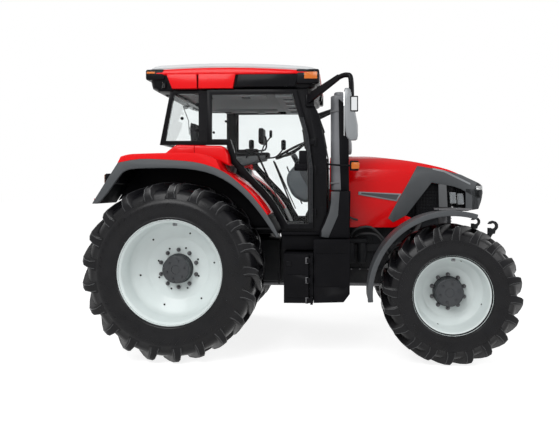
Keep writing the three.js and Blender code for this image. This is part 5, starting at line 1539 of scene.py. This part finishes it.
# %% Tank and steps
place(softened("fuel_tank", "tank_body", 0.020, 4), BLACK_PLASTIC, node="fuel_tank")
filler = [turned("filler", at(1.58, 0.80, 1.11), at(1.58, 0.80, 1.165), 0.052, 0.008, 3, 32)]
filler += [block("filler", 1.572, 1.588, 0.755, 0.845, 1.160, 1.180, 0.004)]
attach("filler_cap", filler, BLACK_PAINT)
treads = []
for z in (0.545, 0.815, 1.080):
    treads += [block("tread", 1.09 + k * 0.045, 1.115 + k * 0.045, 0.93, 1.045, z + 0.018, z + 0.030, 0.003,
        1) for k in range(6)]
place(joined("step_treads", treads), DARK_STEEL)
rail = pipe("entry_rail", flowing(along((1.43, 0.93, 1.10), (1.44, 0.97, 1.25), (1.46, 0.97, 1.65),
    (1.46, 0.86, 1.86), (1.46, 0.745, 1.90))), 0.013, 4)
place(rail, BLACK_PAINT)
print("tank, cap and", len(treads), "tread bars")

# %% [markdown]
# ## Engine, gearbox and axles
# Below the panels everything is cast iron. The castings keep the frame's shape with their edges rounded as a
# foundry would, and get the ribs, flanges, bolts, filters and pipes that a mechanic would look for.

# %% Castings
CASTINGS = {"rear_axle": 0.012, "transmission": 0.014, "engine": 0.012, "front_support": 0.012,
    "front_axle": 0.010, "rear_hitch": 0.005, "front_linkage": 0.006}
for node, width in CASTINGS.items():
    place(softened(node, node + "_casting", width, 3), CAST_PAINT, node=node)
def pairs(*names):
    return [f"{name}_{side}" for name in names for side in ("right", "left")]


LINKS = ["tie_rod", "lift_arms", "top_link", "front_links"] + pairs("lift_rod", "lower_link", "front_knuckle")
for node in LINKS:
    body = node.replace("front_knuckle", "knuckle")
    place(softened(node, node + "_forging", 0.004, 2), CAST_PAINT, body=body, node=node)
print("castings:", len(CASTINGS), "links:", len(LINKS))


# %% Flanges, ribs, filters and pipes on the side of the engine
def bolt_heads(name, spots, outward, radius=0.010, height=0.009):
    outward = Vector(outward)
    heads = [turned(name, Vector(s) - outward * 0.002, Vector(s) + outward * height, radius, 0.0015, 1, 6)
        for s in spots]
    return joined(name, heads)


def engine_side(name):
    parts = blocks((1.385, 1.425, 0.235, 0.272, 0.66, 1.42, 0.006),
        (1.44, 1.47, 0.235, 0.266, 0.66, 1.42, 0.006))
    parts += blocks((1.52, 2.38, 0.225, 0.264, 0.780, 0.800, 0.004, 1),
        (1.52, 2.38, 0.225, 0.264, 1.24, 1.262, 0.004, 1))
    parts += [block("rib", x, x + 0.016, 0.235, 0.262, 0.80, 1.245, 0.004, 1)
        for x in [1.56 + 0.13 * k for k in range(7)]]
    parts += [turned("filter", at(x, 0.310, 0.86), at(x, 0.310, 1.08), 0.048, 0.016, 3, 32)
        for x in (1.72, 1.84)]
    parts += [block("filter", 1.66, 1.90, 0.24, 0.345, 1.075, 1.125, 0.012)]
    parts += [pipe("manifold", flowing(along((x, 0.25, 1.38), (x, 0.29, 1.40), (x - 0.05, 0.30, 1.47))),
        0.022, 4) for x in (1.60, 1.72, 1.84, 1.96)]
    parts += [turned("manifold", at(1.52, 0.305, 1.48), at(1.98, 0.305, 1.48), 0.030, 0.01, 3)]
    return smooth(joined(name, parts), 40)


both_sides(engine_side("engine_side_left"), CAST_PAINT)
bolts = bolt_heads("engine_bolts_left", [at(x, 0.266, z) for x in (1.405, 1.455)
    for z in [0.70 + 0.085 * k for k in range(9)]] + [at(1.55 + 0.09 * k, 0.264, 0.79) for k in range(9)],
    (0, 1, 0))
both_sides(bolts, DARK_STEEL)
hoses = [pipe("hose", flowing(along((1.72, 0.30, 1.13), (1.76, 0.40, 1.22), (1.92, 0.41, 1.25),
    (2.06, 0.36, 1.13), (2.16, 0.28, 1.02))), 0.014),
    pipe("hose", flowing(along((1.76, 0.31, 1.14), (1.83, 0.42, 1.18), (2.00, 0.40, 1.16),
    (2.12, 0.30, 0.96))), 0.011), pipe("hose", flowing(along((2.46, 0.27, 1.30), (2.40, 0.36, 1.20),
    (2.28, 0.34, 1.08), (2.22, 0.27, 1.06))), 0.022, 4),
    pipe("hose", flowing(along((1.50, 0.27, 1.48), (1.60, 0.38, 1.42), (1.74, 0.42, 1.34),
    (1.90, 0.30, 1.30))), 0.010)]
both_sides(joined("engine_hoses_left", hoses), SOFT_RUBBER)
frame_rail = blocks((1.48, 2.74, 0.262, 0.292, 0.985, 1.06, 0.006),
    (2.32, 2.74, 0.20, 0.30, 0.90, 1.06, 0.010))
both_sides(joined("half_frame_left", frame_rail), CAST_PAINT)
print("engine side dressed")

# %% Gearbox, drive shaft and axle fittings
gearbox = [block("gearbox", x, x + 0.02, -0.268, 0.268, 0.62, 1.10, 0.006) for x in (0.30, 0.62, 0.94)]
gearbox += blocks((0.34, 0.60, -0.285, -0.24, 0.74, 0.98, 0.014),
    (0.66, 0.92, 0.24, 0.285, 0.74, 0.98, 0.014))
attach("gearbox_flanges", gearbox, CAST_PAINT)
shaft = [rod("shaft", at(0.60, 0, 0.60), at(2.50, 0, 0.60), 0.034, 32),
    rod("shaft", at(0.55, 0, 0.60), at(0.68, 0, 0.60), 0.062, 32),
    rod("shaft", at(2.42, 0, 0.60), at(2.54, 0, 0.60), 0.062, 32)]
attach("front_drive_shaft", [rounded(s, 0.008, 2) for s in shaft], DARK_STEEL)
for label, y0, y1 in (("left", 0.30, 0.545), ("right", -0.545, -0.30)):
    trumpet = [turned("trumpet", at(0, y, 0.86), at(0, y + 0.018, 0.86), 0.185, 0.005, 2, 40)
        for y in (y0, y1 - 0.018)]
    attach(f"axle_flanges_{label}", trumpet, CAST_PAINT)
spots = [at(0.168 * math.cos(math.tau * k / 14), 0.318, 0.86 + 0.168 * math.sin(math.tau * k / 14))
    for k in range(14)]
both_sides(bolt_heads("axle_bolts_left", spots, (0, 1, 0)), DARK_STEEL)
print("drive shaft and flanges")

# %% [markdown]
# ## Rear and front linkage fittings
# The back of the gearbox carries the power take-off under its shield, the hydraulic couplers in two rows, and the
# trailer socket. Each is a turned body, so rods with softened edges are joined into one piece.

# %% Power take-off, couplers and socket
stub = [turned("stub", at(-0.36, 0, 0.72), at(-0.50, 0, 0.72), 0.0175, 0.003, 2)]
stub += [turned("stub", at(-0.448, 0, 0.72), at(-0.462, 0, 0.72), 0.015, 0.001, 1)]
attach("pto_shaft", stub, BRIGHT_STEEL)
shield = blocks((-0.52, -0.34, -0.12, 0.12, 0.835, 0.845, 0.003),
    (-0.52, -0.34, -0.125, -0.115, 0.66, 0.845, 0.003), (-0.52, -0.34, 0.115, 0.125, 0.66, 0.845, 0.003))
attach("pto_shield", shield, BLACK_PAINT)
couplers, caps = [], []
for z in (1.36, 1.44):
    for k in range(4):
        y = -0.21 + 0.14 * k
        couplers.append(turned("coupler", at(-0.18, y, z), at(-0.33, y, z), 0.026, 0.005, 2))
        caps.append(turned("cap", at(-0.325, y, z), at(-0.35, y, z), 0.031, 0.006, 2))
couplers.append(block("coupler", -0.22, -0.14, -0.27, 0.27, 1.30, 1.50, 0.010))
attach("coupler_block", couplers, DARK_STEEL)
attach("coupler_caps", caps, RED_PAINT)
socket = [turned("socket", at(-0.14, 0.50, 1.40), at(-0.25, 0.50, 1.40), 0.034, 0.006, 2),
    block("socket", -0.265, -0.24, 0.46, 0.54, 1.365, 1.435, 0.012)]
attach("trailer_socket", socket, BLACK_PLASTIC)
print("rear fittings:", len(couplers) - 1, "couplers")

# %% [markdown]
# The rear wall of the cab has a pressed panel with two hatches, and the left tail carries a blank plate. A
# radiator screen closes the front, where the open hood shows it.

# %% Panels that close the ends
rear_panel = blocks((-0.164, -0.148, -0.54, 0.54, 1.56, 2.02, 0.006),
    (-0.172, -0.160, -0.50, -0.10, 1.62, 1.95, 0.005), (-0.172, -0.160, 0.10, 0.50, 1.62, 1.95, 0.005))
rear_panel += [block("panel", -0.176, -0.168, y, y + 0.24, 1.68 + 0.05 * k, 1.70 + 0.05 * k, 0.003, 1)
    for k in range(5) for y in (-0.42, 0.18)]
attach("rear_wall_panel", rear_panel, GREY_PLASTIC)
place(block("blank_plate", -0.722, -0.712, 0.72, 1.06, 1.53, 1.62, 0.004), PALE_LINING)
screens = [block("screen", 2.778, 2.792, -0.25, 0.25, 1.16, 1.66, 0.004)]
screens += [block("screen", 2.79, 2.80, -0.24, 0.24, 1.18 + 0.03 * k, 1.19 + 0.03 * k, 0.002, 1)
    for k in range(16)]
attach("radiator_screen", screens, DARK_STEEL)
print("end panels:", len(rear_panel) + len(screens), "pieces")

# %% [markdown]
# ## Finishes of the frame's own pieces
# What the frame already shapes well keeps its mesh and only gets its finish.

# %% Frame pieces
KEPT = {
    CAST_PAINT: list(CASTINGS) + LINKS,
    TYRE_RUBBER: pairs("rear_tyre", "front_tyre"),
    RIM_PAINT: pairs("rear_rim", "front_rim"),
    GREY_PLASTIC: pairs("front_fender", "mirror") + ["fuel_tank"],
    BLACK_PLASTIC: ["toolbox", "toolbox_door", "aftertreatment_cover", "steering_wheel", "seat_base"],
    RED_PAINT: pairs("rear_fender") + ["hood", "roof"],
    ROOF_WHITE: ["roof_cap"],
    SILVER_PLASTIC: ["exhaust_stack"],
    BLACK_PAINT: ["cab_frame"] + pairs("door"),
    CAB_GLASS: ["windscreen", "rear_window"] + pairs("door_glass", "quarter_window"),
    INTERIOR_GREY: ["cab_floor", "dashboard", "side_console"],
    SOFT_RUBBER: ["seat_cushion", "seat_back"],
}
for material, names in KEPT.items():
    for node in names:
        mesh = NODES[node].data
        mesh.materials.clear()
        mesh.materials.append(material)
